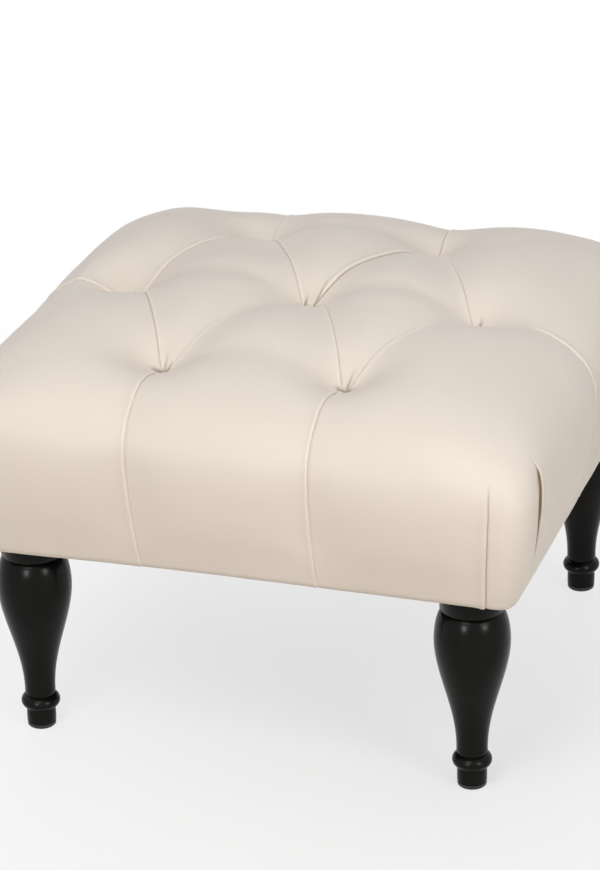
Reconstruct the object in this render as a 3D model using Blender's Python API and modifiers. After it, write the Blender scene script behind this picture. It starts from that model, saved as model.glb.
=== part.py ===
"""Square footstool with a deep-tufted one-piece cover and four turned legs.

Metres, +Z up. The origin is on the floor under the middle of the stool.
The front faces -Y and the right side faces +X.
"""
import math

import bmesh
import bpy
from mathutils import Vector

# Fits
SEAT_GAP = 0.0003               # left between pieces that touch
CUT_MARGIN = 0.002              # how far a cutter runs past what it cuts

# Legs
LEG_INSET = 0.038               # of the leg's axis from the frame's outer faces
LEG_LENGTH = 0.189
FOOT_RADIUS = 0.013
FOOT_EDGE = 0.0005
RING_RADIUS = 0.0174
RING_CENTRE = 0.0205            # above the leg's lower end
RING_HALF_HEIGHT = 0.0068
NECK_RADIUS = 0.0131
BULB_RADIUS = 0.0324
BULB_CENTRE = 0.139             # above the leg's lower end
NOTCH_RADIUS = 0.0258
COLLAR_RADIUS = 0.028
COLLAR_THICKNESS = 0.0222
SHOULDER_SWEEP = 62             # degrees of the round from the bulb's widest part to the notch
LEG_STEPS = 24

# Glides under the legs
GLIDE_THICKNESS = 0.004
GLIDE_RADIUS = 0.0127
GLIDE_PIN_RADIUS = 0.0025
GLIDE_PIN_LENGTH = 0.010

# Leg fixings
BOLT_RADIUS = 0.004
BOLT_IN_LEG = 0.034
BOLT_ABOVE_NUT = 0.004
NUT_FLANGE_RADIUS = 0.010
NUT_FLANGE_THICKNESS = 0.0015
NUT_BARREL_RADIUS = 0.0055
NUT_BARREL_LENGTH = 0.010

# Frame
FRAME_WIDTH = 0.476             # outer size, both ways
RAIL_THICKNESS = 0.022
RAIL_HEIGHT = 0.060
BLOCK_REACH = 0.090             # of a corner block along each rail
BLOCK_HEIGHT = 0.036
DECK_THICKNESS = 0.009
TIMBER_EASE = 0.0008            # worn-off arris of the sawn timber

# Screws: through the rails into the blocks, and through the deck into the rails
SCREW_HEAD_RADIUS = 0.004
SCREW_SHANK_RADIUS = 0.002
SCREW_HEAD_DEPTH = 0.0025
SCREW_POINT = 0.004
BLOCK_SCREW_LENGTH = 0.045
BLOCK_SCREW_INSET = 0.036       # from the frame's inner corner, along the rail
DECK_SCREW_LENGTH = 0.030
DECK_SCREW_INSET = 0.088        # from the frame's corner, along the rail

# Cloths under the seat
COVER_THICKNESS = 0.0012
COVER_TURN_UNDER = 0.030
DUST_CLOTH_THICKNESS = 0.0008
DUST_CLOTH_INSET = 0.004        # inside the frame's outer face

# Padded form of the seat
SIDE_PAD = 0.009                # padding and cover outside the frame, at the bottom edge
BELLY_OUT = 0.018               # how far the faces swell beyond the bottom edge
BELLY_RISE = 0.094              # widest level, above the bottom edge
CROWN_RISE = 0.093              # crown, above the widest level
CROWN_FULLNESS = 2.6            # exponent of the rounding from face to crown
DRAW_IN = 1.8                   # exponent of the face's draw-in towards the bottom
BOTTOM_CORNER = 0.014           # plan radius of the corners at three levels
BELLY_CORNER = 0.038
RIM_CORNER = 0.076
RIM_DROP = 0.030                # rim of the top panel, below the crown

# Tufts and pleats: rows of two, three and two
TUFT_EDGE = 0.078               # of the outer tufts from the frame's outer face
PATTERN_SHIFT = (-0.007, -0.004)
ROW_DRIFT = -0.0055             # each row is laid that much further left than the one before
TUFT_DEPTH = 0.028
TUFT_REACH = 0.032
TUFT_SHARPNESS = 1.6
PLEAT_DEPTH = 0.005
PLEAT_REACH = 0.007
FRONT_FOLD_INSET = 0.0195        # corner folds, from the corner of the cover's flat pattern
SIDE_FOLD_INSET = 0.030
CORNER_FOLD_DEPTH = 0.0015
CORNER_FOLD_TOP = 0.016         # above the widest level
CORNER_REACH = 0.130            # part of the rim that is drawn round each corner
RIM_BLEND = 0.048               # band of the top panel that takes up the rounded rim
PANEL_CROWN = 0.8               # of the end panels, in rows of the pattern
CORNER_CROWN = (0.95, 0.72)     # of the corner panels, in columns and rows
PANEL_STEPS = 3                 # each edge of the coarse cage is split so many times

# Tuft ties
TWINE_RADIUS = 0.0013
KNOT_RADIUS = 0.003
TWINE_HOLE_RADIUS = 0.004
WASHER_RADIUS = 0.011
WASHER_THICKNESS = 0.0015

# Levels that follow from the sizes above, from the floor up
LEG_BOTTOM = GLIDE_THICKNESS + SEAT_GAP
LEG_TOP = LEG_BOTTOM + LEG_LENGTH
DUST_BOTTOM = LEG_TOP + SEAT_GAP
COVER_BOTTOM = DUST_BOTTOM + DUST_CLOTH_THICKNESS + SEAT_GAP
FRAME_BOTTOM = COVER_BOTTOM + COVER_THICKNESS + SEAT_GAP
BLOCK_TOP = FRAME_BOTTOM + BLOCK_HEIGHT
RAIL_TOP = FRAME_BOTTOM + RAIL_HEIGHT
DECK_BOTTOM = RAIL_TOP + SEAT_GAP
DECK_TOP = DECK_BOTTOM + DECK_THICKNESS
FOAM_BOTTOM = DECK_TOP + SEAT_GAP
BELLY_LEVEL = COVER_BOTTOM + BELLY_RISE
CROWN_LEVEL = BELLY_LEVEL + CROWN_RISE
RIM_LEVEL = CROWN_LEVEL - RIM_DROP

# Half widths that follow
FRAME_HALF = FRAME_WIDTH / 2
INNER_HALF = FRAME_HALF - RAIL_THICKNESS
BOTTOM_HALF = FRAME_HALF + SIDE_PAD
BELLY_HALF = BOTTOM_HALF + BELLY_OUT
LEG_AXIS = FRAME_HALF - LEG_INSET
TUFT_SPACING = FRAME_HALF - TUFT_EDGE

CORNERS = {
    "front_left": (-1, -1),
    "front_right": (1, -1),
    "back_left": (-1, 1),
    "back_right": (1, 1),
}
TUFT_GRID = ((-0.5, -1), (0.5, -1), (-1, 0), (0, 0), (1, 0), (-0.5, 1), (0.5, 1))


# Scene and materials

def clear_scene():
    for old in list(bpy.data.objects):
        bpy.data.objects.remove(old, do_unlink=True)


def new_collection(name):
    collection = bpy.data.collections.new(name)
    bpy.context.scene.collection.children.link(collection)
    return collection


def plain_material(name, colour, roughness, metallic=0.0):
    material = bpy.data.materials.new(name)
    material.use_nodes = True
    shader = material.node_tree.nodes["Principled BSDF"]
    shader.inputs["Base Color"].default_value = (*colour, 1.0)
    shader.inputs["Roughness"].default_value = roughness
    shader.inputs["Metallic"].default_value = metallic
    material.diffuse_color = (*colour, 1.0)
    return material


clear_scene()
PARTS = new_collection("footstool")
CUTTERS = new_collection("cutters")

CREAM_LEATHER = plain_material("cream_leather", (0.78, 0.70, 0.61), 0.45)
FOAM = plain_material("foam", (0.86, 0.80, 0.55), 0.95)
PINE = plain_material("pine", (0.72, 0.53, 0.33), 0.7)
PLYWOOD = plain_material("plywood", (0.66, 0.49, 0.31), 0.75)
BLACK_PAINT = plain_material("black_painted_wood", (0.012, 0.012, 0.010), 0.3)
STEEL = plain_material("zinc_steel", (0.62, 0.63, 0.65), 0.35, 1.0)
BLACK_CLOTH = plain_material("black_cloth", (0.02, 0.02, 0.02), 0.9)
TWINE = plain_material("twine", (0.80, 0.77, 0.70), 0.8)
GLIDE_PLASTIC = plain_material("glide_plastic", (0.05, 0.05, 0.05), 0.5)


# Objects from meshes

def add_object(name, bm, material, collection=PARTS):
    mesh = bpy.data.meshes.new(name)
    bm.to_mesh(mesh)
    bm.free()
    mesh.materials.append(material)
    piece = bpy.data.objects.new(name, mesh)
    collection.objects.link(piece)
    return piece


def smooth(piece, angle=35):
    piece.data.shade_smooth()
    piece.data.set_sharp_from_angle(angle=math.radians(angle))


def box_mesh(low, high):
    bm = bmesh.new()
    bmesh.ops.create_cube(bm, size=1.0)
    low, high = Vector(low), Vector(high)
    size = high - low
    for vert in bm.verts:
        share = vert.co + Vector((0.5, 0.5, 0.5))
        vert.co = low + Vector([s * d for s, d in zip(share, size)])
    return bm


def timber(name, low, high, material):
    piece = add_object(name, box_mesh(low, high), material)
    ease = piece.modifiers.new("ease", "BEVEL")
    ease.width = TIMBER_EASE
    ease.segments = 1
    return piece


def turned(name, profile, steps, material, closed=False):
    """A profile of (radius, height) points, from the top down its outer side, turned about Z."""
    bm = bmesh.new()
    verts = [bm.verts.new((radius, 0.0, height)) for radius, height in profile]
    for first, second in zip(verts, verts[1:]):
        bm.edges.new((first, second))
    if closed:
        bm.edges.new((verts[-1], verts[0]))
    piece = add_object(name, bm, material)
    screw = piece.modifiers.new("turn", "SCREW")
    screw.axis = "Z"
    screw.steps = steps
    screw.render_steps = steps
    screw.use_merge_vertices = True
    screw.merge_threshold = 0.00001
    screw.use_smooth_shade = True
    return piece


def add_peg(bm, start, direction, length, radius, segments):
    """A closed round peg in the mesh, from its start along a direction."""
    axis = Vector(direction).normalized()
    turn = axis.to_track_quat("Z", "Y").to_matrix().to_4x4()
    peg = bmesh.ops.create_cone(bm, cap_ends=True, segments=segments, radius1=radius,
                                radius2=radius, depth=length, matrix=turn)
    bmesh.ops.translate(bm, verts=peg["verts"], vec=Vector(start) + axis * (length / 2))


def cut_with(piece, cutter):
    cutter.hide_render = True
    cutter.display_type = "WIRE"
    cut = piece.modifiers.new("cut", "BOOLEAN")
    cut.operation = "DIFFERENCE"
    cut.solver = "EXACT"
    cut.object = cutter


def drill(piece, holes, segments=12):
    """Cuts round holes, each (start, direction, length, radius), with one cutter."""
    bm = bmesh.new()
    for start, direction, length, radius in holes:
        add_peg(bm, start, direction, length, radius, segments)
    cut_with(piece, add_object(piece.name + "_holes", bm, STEEL, CUTTERS))


# The padded form: its width at each level, and its height over each point

def half_width(level):
    if level >= BELLY_LEVEL:
        rise = min((level - BELLY_LEVEL) / CROWN_RISE, 1.0)
        return BELLY_HALF * (1 - rise ** CROWN_FULLNESS) ** (1 / CROWN_FULLNESS)
    sink = min((BELLY_LEVEL - level) / BELLY_RISE, 1.0)
    return BELLY_HALF - BELLY_OUT * sink ** DRAW_IN


def corner_radius(level):
    if level >= BELLY_LEVEL:
        share = (level - BELLY_LEVEL) / (RIM_LEVEL - BELLY_LEVEL)
        return BELLY_CORNER + (RIM_CORNER - BELLY_CORNER) * share
    share = (level - COVER_BOTTOM) / BELLY_RISE
    return BOTTOM_CORNER + (BELLY_CORNER - BOTTOM_CORNER) * share


def squareness(level):
    """Exponent of the rounded square whose corners have the radius of this level."""
    half = max(half_width(level), 0.001)
    radius = min(corner_radius(level), 0.9 * half)
    return -math.log(2) / math.log(1 - (1 - math.sqrt(0.5)) * radius / half)


def top_height(x, y):
    low, high = BELLY_LEVEL, CROWN_LEVEL
    for _ in range(30):
        level = (low + high) / 2
        power = squareness(level)
        reach = (abs(x) ** power + abs(y) ** power) ** (1 / power)
        if reach < half_width(level):
            low = level
        else:
            high = level
    return low


def tuft_place(column, row):
    """A point of the tuft pattern, in plan."""
    return Vector((PATTERN_SHIFT[0] + column * TUFT_SPACING + row * ROW_DRIFT,
                   PATTERN_SHIFT[1] + row * TUFT_SPACING))


def pleats():
    """Each pleat between two tufts, in plan, and each pleat from a tuft over the border."""
    rim = half_width(RIM_LEVEL)
    lines = []
    for row in (-1, 1):
        for column in (-0.5, 0.5):
            outer = tuft_place(column, row)
            lines.append((outer, tuft_place(0, 0)))
            lines.append((outer, tuft_place(2 * column, 0)))
            lines.append((outer, Vector((outer.x, row * rim))))
    for column in (-1, 1):
        tuft = tuft_place(column, 0)
        lines.append((tuft, Vector((column * rim, tuft.y))))
    return lines


def distance_to(point, line):
    start, end = line
    along = end - start
    share = max(0.0, min(1.0, (point - start).dot(along) / along.length_squared))
    return (point - start - along * share).length


def tuft_sink(point, lines):
    """How far the tufts and pleats draw the top down at a point of the plan."""
    tuft_gap = min((point - tuft_place(*tuft)).length for tuft in TUFT_GRID)
    pleat_gap = min(distance_to(point, line) for line in lines)
    sink = TUFT_DEPTH * math.exp(-(tuft_gap / TUFT_REACH) ** TUFT_SHARPNESS)
    return sink + PLEAT_DEPTH * math.exp(-(pleat_gap / PLEAT_REACH) ** 2)


# The cover's flat pattern: a square whose edge is the rim of the top panel

def spread(station, level):
    """Moves a station of the square pattern's edge to its place on the rounded outline."""
    rim = half_width(RIM_LEVEL)
    corner = half_width(level) * 0.5 ** (1 / squareness(level))
    straight = rim - CORNER_REACH
    past = max(abs(station) - straight, 0.0) / CORNER_REACH
    place = min(abs(station), straight) + past * (corner - straight)
    return math.copysign(place, station)


def outline_point(u, v, level):
    """A point of the square pattern's edge, laid on the seat's outline at a level."""
    power, half = squareness(level), half_width(level)
    along_y = abs(u) >= abs(v)
    place = spread(v if along_y else u, level)
    reach = (half ** power - abs(place) ** power) ** (1 / power)
    if along_y:
        return Vector((math.copysign(reach, u), place))
    return Vector((place, math.copysign(reach, v)))


def top_point(u, v, lines):
    rim = half_width(RIM_LEVEL)
    edge = max(abs(u), abs(v))
    plan = Vector((u, v))
    if edge > rim - RIM_BLEND:
        share = min((edge - rim) / RIM_BLEND + 1.0, 1.0)
        share = share * share * (3 - 2 * share)
        rounded = outline_point(u * rim / edge, v * rim / edge, RIM_LEVEL) * (edge / rim)
        plan = plan.lerp(rounded, share)
    height = top_height(plan.x, plan.y) - tuft_sink(Vector((u, v)), lines)
    return Vector((plan.x, plan.y, height))


def side_sink(u, v, level, lines):
    """How far the border pleats and corner folds draw the sides in."""
    rim = half_width(RIM_LEVEL)
    share = (level - COVER_BOTTOM) / (RIM_LEVEL - COVER_BOTTOM)
    pleat_gap = min(distance_to(Vector((u, v)), line) for line in lines)
    sink = PLEAT_DEPTH * share ** 2 * math.exp(-(pleat_gap / PLEAT_REACH) ** 2)
    if level < BELLY_LEVEL + CORNER_FOLD_TOP:
        inset = SIDE_FOLD_INSET if abs(u) >= abs(v) else FRONT_FOLD_INSET
        fold_gap = abs(min(abs(u), abs(v)) - (rim - inset))
        sink += CORNER_FOLD_DEPTH * math.exp(-(fold_gap / PLEAT_REACH) ** 2)
    return sink


def side_point(u, v, level, lines):
    place = outline_point(u, v, level)
    rise = max(level - BELLY_LEVEL, 0.0) / CROWN_RISE
    lean_out = (half_width(level) / BELLY_HALF) ** (CROWN_FULLNESS - 1) / BELLY_HALF
    lean_up = rise ** (CROWN_FULLNESS - 1) / CROWN_RISE
    sink = side_sink(u, v, level, lines) / math.hypot(lean_out, lean_up)
    inward = Vector((-math.copysign(1, u), 0)) if abs(u) >= abs(v) else Vector((0, -math.copysign(1, v)))
    place += inward * lean_out * sink
    return Vector((place.x, place.y, level - lean_up * sink))


def pattern_cage():
    """The cover's coarse flat pattern: its edges run along the pleats and meet at the tufts."""
    rim = half_width(RIM_LEVEL)
    bm = bmesh.new()
    verts = {}

    def node(column, row):
        key = (column, row)
        if key not in verts:
            verts[key] = bm.verts.new((*tuft_place(column, row), 0.0))
        return verts[key]

    def rim_node(side_x, side_y, name):
        corner = Vector((side_x * rim, side_y * rim))
        places = {
            "middle": Vector((PATTERN_SHIFT[0], corner.y)),
            "pleat": Vector((tuft_place(side_x * 0.5, side_y).x, corner.y)),
            "front_fold": Vector((corner.x - side_x * FRONT_FOLD_INSET, corner.y)),
            "corner": corner,
            "side_fold": Vector((corner.x, corner.y - side_y * SIDE_FOLD_INSET)),
            "side_pleat": Vector((corner.x, PATTERN_SHIFT[1])),
        }
        key = tuple(round(value, 6) for value in places[name])
        if key not in verts:
            verts[key] = bm.verts.new((*places[name], 0.0))
        return verts[key]

    for row in (-1, 1):
        bm.faces.new([node(0, 0), node(-0.25, row / 2), node(0, PANEL_CROWN * row), node(0.25, row / 2)])
    for column in (-1, 1):
        crown = node(column / 2, 0)
        for near, end in ((0.25, 0), (0.75, 1)):
            side = [node(column * near, 0.5), crown, node(column * near, -0.5)]
            bm.faces.new([node(column * end, 0), *side])
        for row in (-1, 1):
            tuft = node(column / 2, row)
            inner = node(column * 0.25, row / 2)
            outer = node(column * 0.75, row / 2)
            panel_crown = node(0, PANEL_CROWN * row)
            corner_crown = node(column * CORNER_CROWN[0], row * CORNER_CROWN[1])
            rims = [rim_node(column, row, name)
                    for name in ("middle", "pleat", "front_fold", "corner", "side_fold", "side_pleat")]
            bm.faces.new([tuft, outer, crown, inner])
            bm.faces.new([inner, tuft, rims[1], panel_crown])
            bm.faces.new([rims[1], rims[0], panel_crown])
            bm.faces.new([outer, tuft, rims[1], corner_crown])
            for first, second in zip(rims[1:], rims[2:]):
                bm.faces.new([corner_crown, first, second])
            bm.faces.new([corner_crown, rims[5], node(column, 0), outer])
    bmesh.ops.recalc_face_normals(bm, faces=bm.faces)
    if sum(face.normal.z for face in bm.faces) < 0:
        bmesh.ops.reverse_faces(bm, faces=bm.faces)
    return bm


def form_levels():
    """Levels of the side rows, from under the rim down to the bottom edge."""
    return [BELLY_LEVEL + 0.45 * CROWN_RISE, BELLY_LEVEL + 0.12 * CROWN_RISE,
            COVER_BOTTOM + 0.52 * BELLY_RISE, COVER_BOTTOM]


def seat_form():
    """The open outer face of the padded seat, from its tufted top to its bottom edge."""
    bm = pattern_cage()
    bmesh.ops.subdivide_edges(bm, edges=bm.edges, cuts=PANEL_STEPS - 1, use_grid_fill=True)
    lines = pleats()
    flat_u = bm.verts.layers.float.new("flat_u")
    flat_v = bm.verts.layers.float.new("flat_v")
    rim_edges = [edge for edge in bm.edges if edge.is_boundary]
    for vert in bm.verts:
        vert[flat_u], vert[flat_v] = vert.co.x, vert.co.y
        vert.co = top_point(vert.co.x, vert.co.y, lines)
    for level in form_levels():
        rim_edges = extrude_row(bm, rim_edges)
        for vert in row_verts(rim_edges):
            vert.co = side_point(vert[flat_u], vert[flat_v], level, lines)
    return bm, rim_edges


def extrude_row(bm, edges):
    row = bmesh.ops.extrude_edge_only(bm, edges=edges)
    return [item for item in row["geom"] if isinstance(item, bmesh.types.BMEdge) and item.is_boundary]


def row_verts(edges):
    return {vert for edge in edges for vert in edge.verts}


def face_outwards(bm):
    bmesh.ops.recalc_face_normals(bm, faces=bm.faces)
    highest = max(bm.faces, key=lambda face: face.calc_center_median().z)
    if highest.normal.z < 0:
        bmesh.ops.reverse_faces(bm, faces=bm.faces)


# Soft pieces

def make_cover():
    bm, edges = seat_form()
    edges = extrude_row(bm, edges)
    shrink = (BOTTOM_HALF - COVER_TURN_UNDER) / BOTTOM_HALF
    for vert in row_verts(edges):
        vert.co.x *= shrink
        vert.co.y *= shrink
    face_outwards(bm)
    bmesh.ops.triangulate(bm, faces=bm.faces)
    cover = add_object("seat_cover", bm, CREAM_LEATHER)
    shell = cover.modifiers.new("thickness", "SOLIDIFY")
    shell.thickness = COVER_THICKNESS
    shell.offset = -1.0
    smooth(cover, 50)
    return cover


def padding_mesh(bottom, top=None):
    """The padding inside the cover, sliced level below and, where given, above."""
    bm, _ = seat_form()
    face_outwards(bm)
    bmesh.ops.triangulate(bm, faces=bm.faces)
    bm.normal_update()
    inset = COVER_THICKNESS + SEAT_GAP
    places = {vert: vert.co - vert.normal * inset for vert in bm.verts}
    for vert, place in places.items():
        vert.co = place
    slice_level(bm, bottom, keep_above=True)
    if top is not None:
        slice_level(bm, top, keep_above=False)
    face_outwards(bm)
    return bm


def slice_level(bm, level, keep_above):
    geometry = bm.verts[:] + bm.edges[:] + bm.faces[:]
    bmesh.ops.bisect_plane(bm, geom=geometry, dist=0.000001, plane_co=(0, 0, level),
                           plane_no=(0, 0, 1), clear_inner=keep_above, clear_outer=not keep_above)
    rim = [edge for edge in bm.edges if edge.is_boundary
           and all(abs(vert.co.z - level) < 0.00001 for vert in edge.verts)]
    bmesh.ops.edgeloop_fill(bm, edges=rim)


def make_foam_block():
    foam = add_object("foam_block", padding_mesh(FOAM_BOTTOM), FOAM)
    smooth(foam, 50)
    start = FOAM_BOTTOM - CUT_MARGIN
    drill(foam, [((*tuft_place(*tuft), start), (0, 0, 1), CROWN_LEVEL - start, TWINE_HOLE_RADIUS)
                 for tuft in TUFT_GRID], segments=10)


def make_side_foam():
    foam = add_object("side_foam", padding_mesh(FRAME_BOTTOM, DECK_TOP), FOAM)
    smooth(foam, 50)
    pocket = FRAME_HALF + SEAT_GAP
    low = (-pocket, -pocket, FRAME_BOTTOM - CUT_MARGIN)
    high = (pocket, pocket, DECK_TOP + CUT_MARGIN)
    cut_with(foam, add_object("side_foam_pocket", box_mesh(low, high), PINE, CUTTERS))


def make_dust_cloth():
    half = FRAME_HALF - DUST_CLOTH_INSET
    bm = box_mesh((-half, -half, DUST_BOTTOM), (half, half, DUST_BOTTOM + DUST_CLOTH_THICKNESS))
    cloth = add_object("dust_cloth", bm, BLACK_CLOTH)
    start = DUST_BOTTOM - CUT_MARGIN
    length = DUST_CLOTH_THICKNESS + 2 * CUT_MARGIN
    drill(cloth, [((x * LEG_AXIS, y * LEG_AXIS, start), (0, 0, 1), length, BOLT_RADIUS + SEAT_GAP)
                  for x, y in CORNERS.values()])


# Frame

def deck_screw_places():
    middle = FRAME_HALF - RAIL_THICKNESS / 2
    reach = FRAME_HALF - DECK_SCREW_INSET
    places = []
    for along in (-reach, reach):
        for side in (-1, 1):
            places.append((along, side * middle))
            places.append((side * middle, along))
    return places


def block_screw_places():
    """Each screw through a rail into a corner block: where its head sits, and its direction."""
    across = INNER_HALF - BLOCK_SCREW_INSET
    level = FRAME_BOTTOM + BLOCK_HEIGHT / 2
    places = []
    for x, y in CORNERS.values():
        places.append(((x * FRAME_HALF, y * across, level), (-x, 0, 0)))
        places.append(((x * across, y * FRAME_HALF, level), (0, -y, 0)))
    return places


def screw_hole(place, direction, length):
    """A snug hole for a wood screw whose head is flush with the face."""
    outside = Vector(place) - Vector(direction) * CUT_MARGIN
    return outside, direction, length + CUT_MARGIN + SEAT_GAP, SCREW_SHANK_RADIUS + SEAT_GAP


def head_hole(place, direction):
    """Room for the screw's head under the face."""
    outside = Vector(place) - Vector(direction) * CUT_MARGIN
    return outside, direction, SCREW_HEAD_DEPTH + CUT_MARGIN + SEAT_GAP, SCREW_HEAD_RADIUS + SEAT_GAP


def make_rails():
    side_length = FRAME_HALF - RAIL_THICKNESS - SEAT_GAP
    spans = {
        "rail_front": ((-FRAME_HALF, -FRAME_HALF), (FRAME_HALF, -INNER_HALF)),
        "rail_back": ((-FRAME_HALF, INNER_HALF), (FRAME_HALF, FRAME_HALF)),
        "rail_left": ((-FRAME_HALF, -side_length), (-INNER_HALF, side_length)),
        "rail_right": ((INNER_HALF, -side_length), (FRAME_HALF, side_length)),
    }
    down = (0, 0, -1)
    for name, (low, high) in spans.items():
        rail = timber(name, (*low, FRAME_BOTTOM), (*high, RAIL_TOP), PINE)

        def inside(place):
            return all(a - SEAT_GAP <= b <= c + SEAT_GAP for a, b, c in zip(low, place, high))

        holes = [screw_hole((x, y, DECK_TOP), down, DECK_SCREW_LENGTH)
                 for x, y in deck_screw_places() if inside((x, y))]
        for place, direction in block_screw_places():
            if inside(place[:2]):
                holes.append(screw_hole(place, direction, BLOCK_SCREW_LENGTH))
                holes.append(head_hole(place, direction))
        drill_each(rail, holes)


def drill_each(piece, holes, segments=12):
    """Cuts holes that run into one another, with a cutter each."""
    for number, hole in enumerate(holes, 1):
        bm = bmesh.new()
        add_peg(bm, *hole, segments)
        cut_with(piece, add_object("%s_hole_%d" % (piece.name, number), bm, STEEL, CUTTERS))


def make_corner_blocks():
    near = INNER_HALF - SEAT_GAP
    far = near - BLOCK_REACH
    for corner, (x, y) in CORNERS.items():
        ends = sorted((x * near, x * far)), sorted((y * near, y * far))
        bm = box_mesh((ends[0][0], ends[1][0], FRAME_BOTTOM), (ends[0][1], ends[1][1], BLOCK_TOP))
        slant = Vector((x * (near + far) / 2, y * (near + far) / 2, BLOCK_TOP))
        cut = bmesh.ops.bisect_plane(bm, geom=bm.verts[:] + bm.edges[:] + bm.faces[:], plane_co=slant,
                                     plane_no=(x, y, 0), dist=0.000001, clear_inner=True)
        rim = [item for item in cut["geom_cut"] if isinstance(item, bmesh.types.BMEdge)]
        bmesh.ops.edgeloop_fill(bm, edges=rim)
        bmesh.ops.recalc_face_normals(bm, faces=bm.faces)
        block = add_object("corner_block_" + corner, bm, PINE)
        bottom = FRAME_BOTTOM - CUT_MARGIN
        holes = [((x * LEG_AXIS, y * LEG_AXIS, bottom), (0, 0, 1), BLOCK_HEIGHT + 2 * CUT_MARGIN,
                  NUT_BARREL_RADIUS + SEAT_GAP)]
        for place, direction in block_screw_places():
            if place[0] * x > 0 and place[1] * y > 0:
                holes.append(screw_hole(place, direction, BLOCK_SCREW_LENGTH))
        drill(block, holes)


def make_deck():
    low = (-FRAME_HALF, -FRAME_HALF, DECK_BOTTOM)
    high = (FRAME_HALF, FRAME_HALF, DECK_TOP)
    deck = timber("deck_panel", low, high, PLYWOOD)
    start = DECK_BOTTOM - CUT_MARGIN
    through = DECK_THICKNESS + 2 * CUT_MARGIN
    holes = [((*tuft_place(*tuft), start), (0, 0, 1), through, TWINE_HOLE_RADIUS) for tuft in TUFT_GRID]
    down = (0, 0, -1)
    holes += [screw_hole((x, y, DECK_TOP), down, through) for x, y in deck_screw_places()]
    drill(deck, holes)
    drill_each(deck, [head_hole((x, y, DECK_TOP), down) for x, y in deck_screw_places()])


def make_screw(name, place, direction, length):
    profile = [(0, 0), (SCREW_HEAD_RADIUS, 0), (SCREW_SHANK_RADIUS, -SCREW_HEAD_DEPTH),
               (SCREW_SHANK_RADIUS, -length + SCREW_POINT), (0, -length)]
    screw = turned(name, profile, 8, STEEL)
    screw.location = place
    screw.rotation_mode = "QUATERNION"
    screw.rotation_quaternion = (-Vector(direction)).to_track_quat("Z", "Y")


def make_screws():
    for number, (place, direction) in enumerate(block_screw_places(), 1):
        make_screw("block_screw_%d" % number, place, direction, BLOCK_SCREW_LENGTH)
    for number, (x, y) in enumerate(deck_screw_places(), 1):
        make_screw("deck_screw_%d" % number, (x, y, DECK_TOP), (0, 0, -1), DECK_SCREW_LENGTH)


# Legs and their fixings

def swell(start, end, count, power=1.0):
    """Points from one (radius, height) to another along an S-shaped sweep, both ends left out."""
    points = []
    for step in range(1, count):
        share = step / count
        ease = (1 - math.cos(math.pi * share ** power)) / 2
        points.append((start[0] + (end[0] - start[0]) * ease, start[1] + (end[1] - start[1]) * share))
    return points


def leg_profile():
    """The leg's outer side from its flat top to its foot, heights from its lower end."""
    collar_bottom = LEG_LENGTH - COLLAR_THICKNESS
    neck_top = RING_CENTRE + RING_HALF_HEIGHT + 0.004
    profile = [(0, LEG_LENGTH), (COLLAR_RADIUS, LEG_LENGTH), (COLLAR_RADIUS, collar_bottom),
               (NOTCH_RADIUS, collar_bottom - 0.001)]
    profile += shoulder(collar_bottom - 0.001)
    profile.append((BULB_RADIUS, BULB_CENTRE))
    profile += swell((BULB_RADIUS, BULB_CENTRE), (NECK_RADIUS, neck_top), 8, 0.90)
    profile.append((NECK_RADIUS, neck_top))
    profile += ring_bead()
    profile += [(FOOT_RADIUS, FOOT_EDGE), (FOOT_RADIUS - FOOT_EDGE, 0), (0, 0)]
    return profile


def shoulder(top):
    """The round shoulder between the notch and the widest part of the bulb."""
    points = []
    first = math.radians(90 - SHOULDER_SWEEP)
    for step in range(1, 6):
        turn = first + math.radians(SHOULDER_SWEEP) * step / 6
        rise = (top - BULB_CENTRE) * math.cos(turn) / math.cos(first)
        out = (BULB_RADIUS - NOTCH_RADIUS) * (math.sin(turn) - math.sin(first)) / (1 - math.sin(first))
        points.append((NOTCH_RADIUS + out, BULB_CENTRE + rise))
    return points


def ring_bead():
    """The turned ring above the foot, as half a round bead."""
    points = []
    for step in range(5):
        turn = math.radians(70 - 35 * step)
        root = RING_RADIUS - RING_HALF_HEIGHT
        out, up = RING_HALF_HEIGHT * math.cos(turn), RING_HALF_HEIGHT * math.sin(turn)
        points.append((root + out, RING_CENTRE + up))
    points.append((FOOT_RADIUS, RING_CENTRE - RING_HALF_HEIGHT - 0.001))
    return points


def make_leg(corner, x, y):
    leg = turned("leg_" + corner, leg_profile(), LEG_STEPS, BLACK_PAINT)
    leg.location = (x * LEG_AXIS, y * LEG_AXIS, LEG_BOTTOM)
    centre = (x * LEG_AXIS, y * LEG_AXIS)
    bore = BOLT_IN_LEG + SEAT_GAP
    drill(leg, [
        ((*centre, LEG_TOP - bore), (0, 0, 1), bore + CUT_MARGIN, BOLT_RADIUS + SEAT_GAP),
        ((*centre, LEG_BOTTOM - CUT_MARGIN), (0, 0, 1), GLIDE_PIN_LENGTH + CUT_MARGIN + SEAT_GAP,
         GLIDE_PIN_RADIUS + SEAT_GAP),
    ])


def make_glide(corner, x, y):
    edge = 0.0012
    tip = GLIDE_THICKNESS + GLIDE_PIN_LENGTH
    profile = [(0, tip), (GLIDE_PIN_RADIUS, tip - edge), (GLIDE_PIN_RADIUS, GLIDE_THICKNESS),
               (GLIDE_RADIUS, GLIDE_THICKNESS), (GLIDE_RADIUS, edge), (GLIDE_RADIUS - edge, 0), (0, 0)]
    glide = turned("glide_" + corner, profile, LEG_STEPS, GLIDE_PLASTIC)
    glide.location = (x * LEG_AXIS, y * LEG_AXIS, 0)


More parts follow.
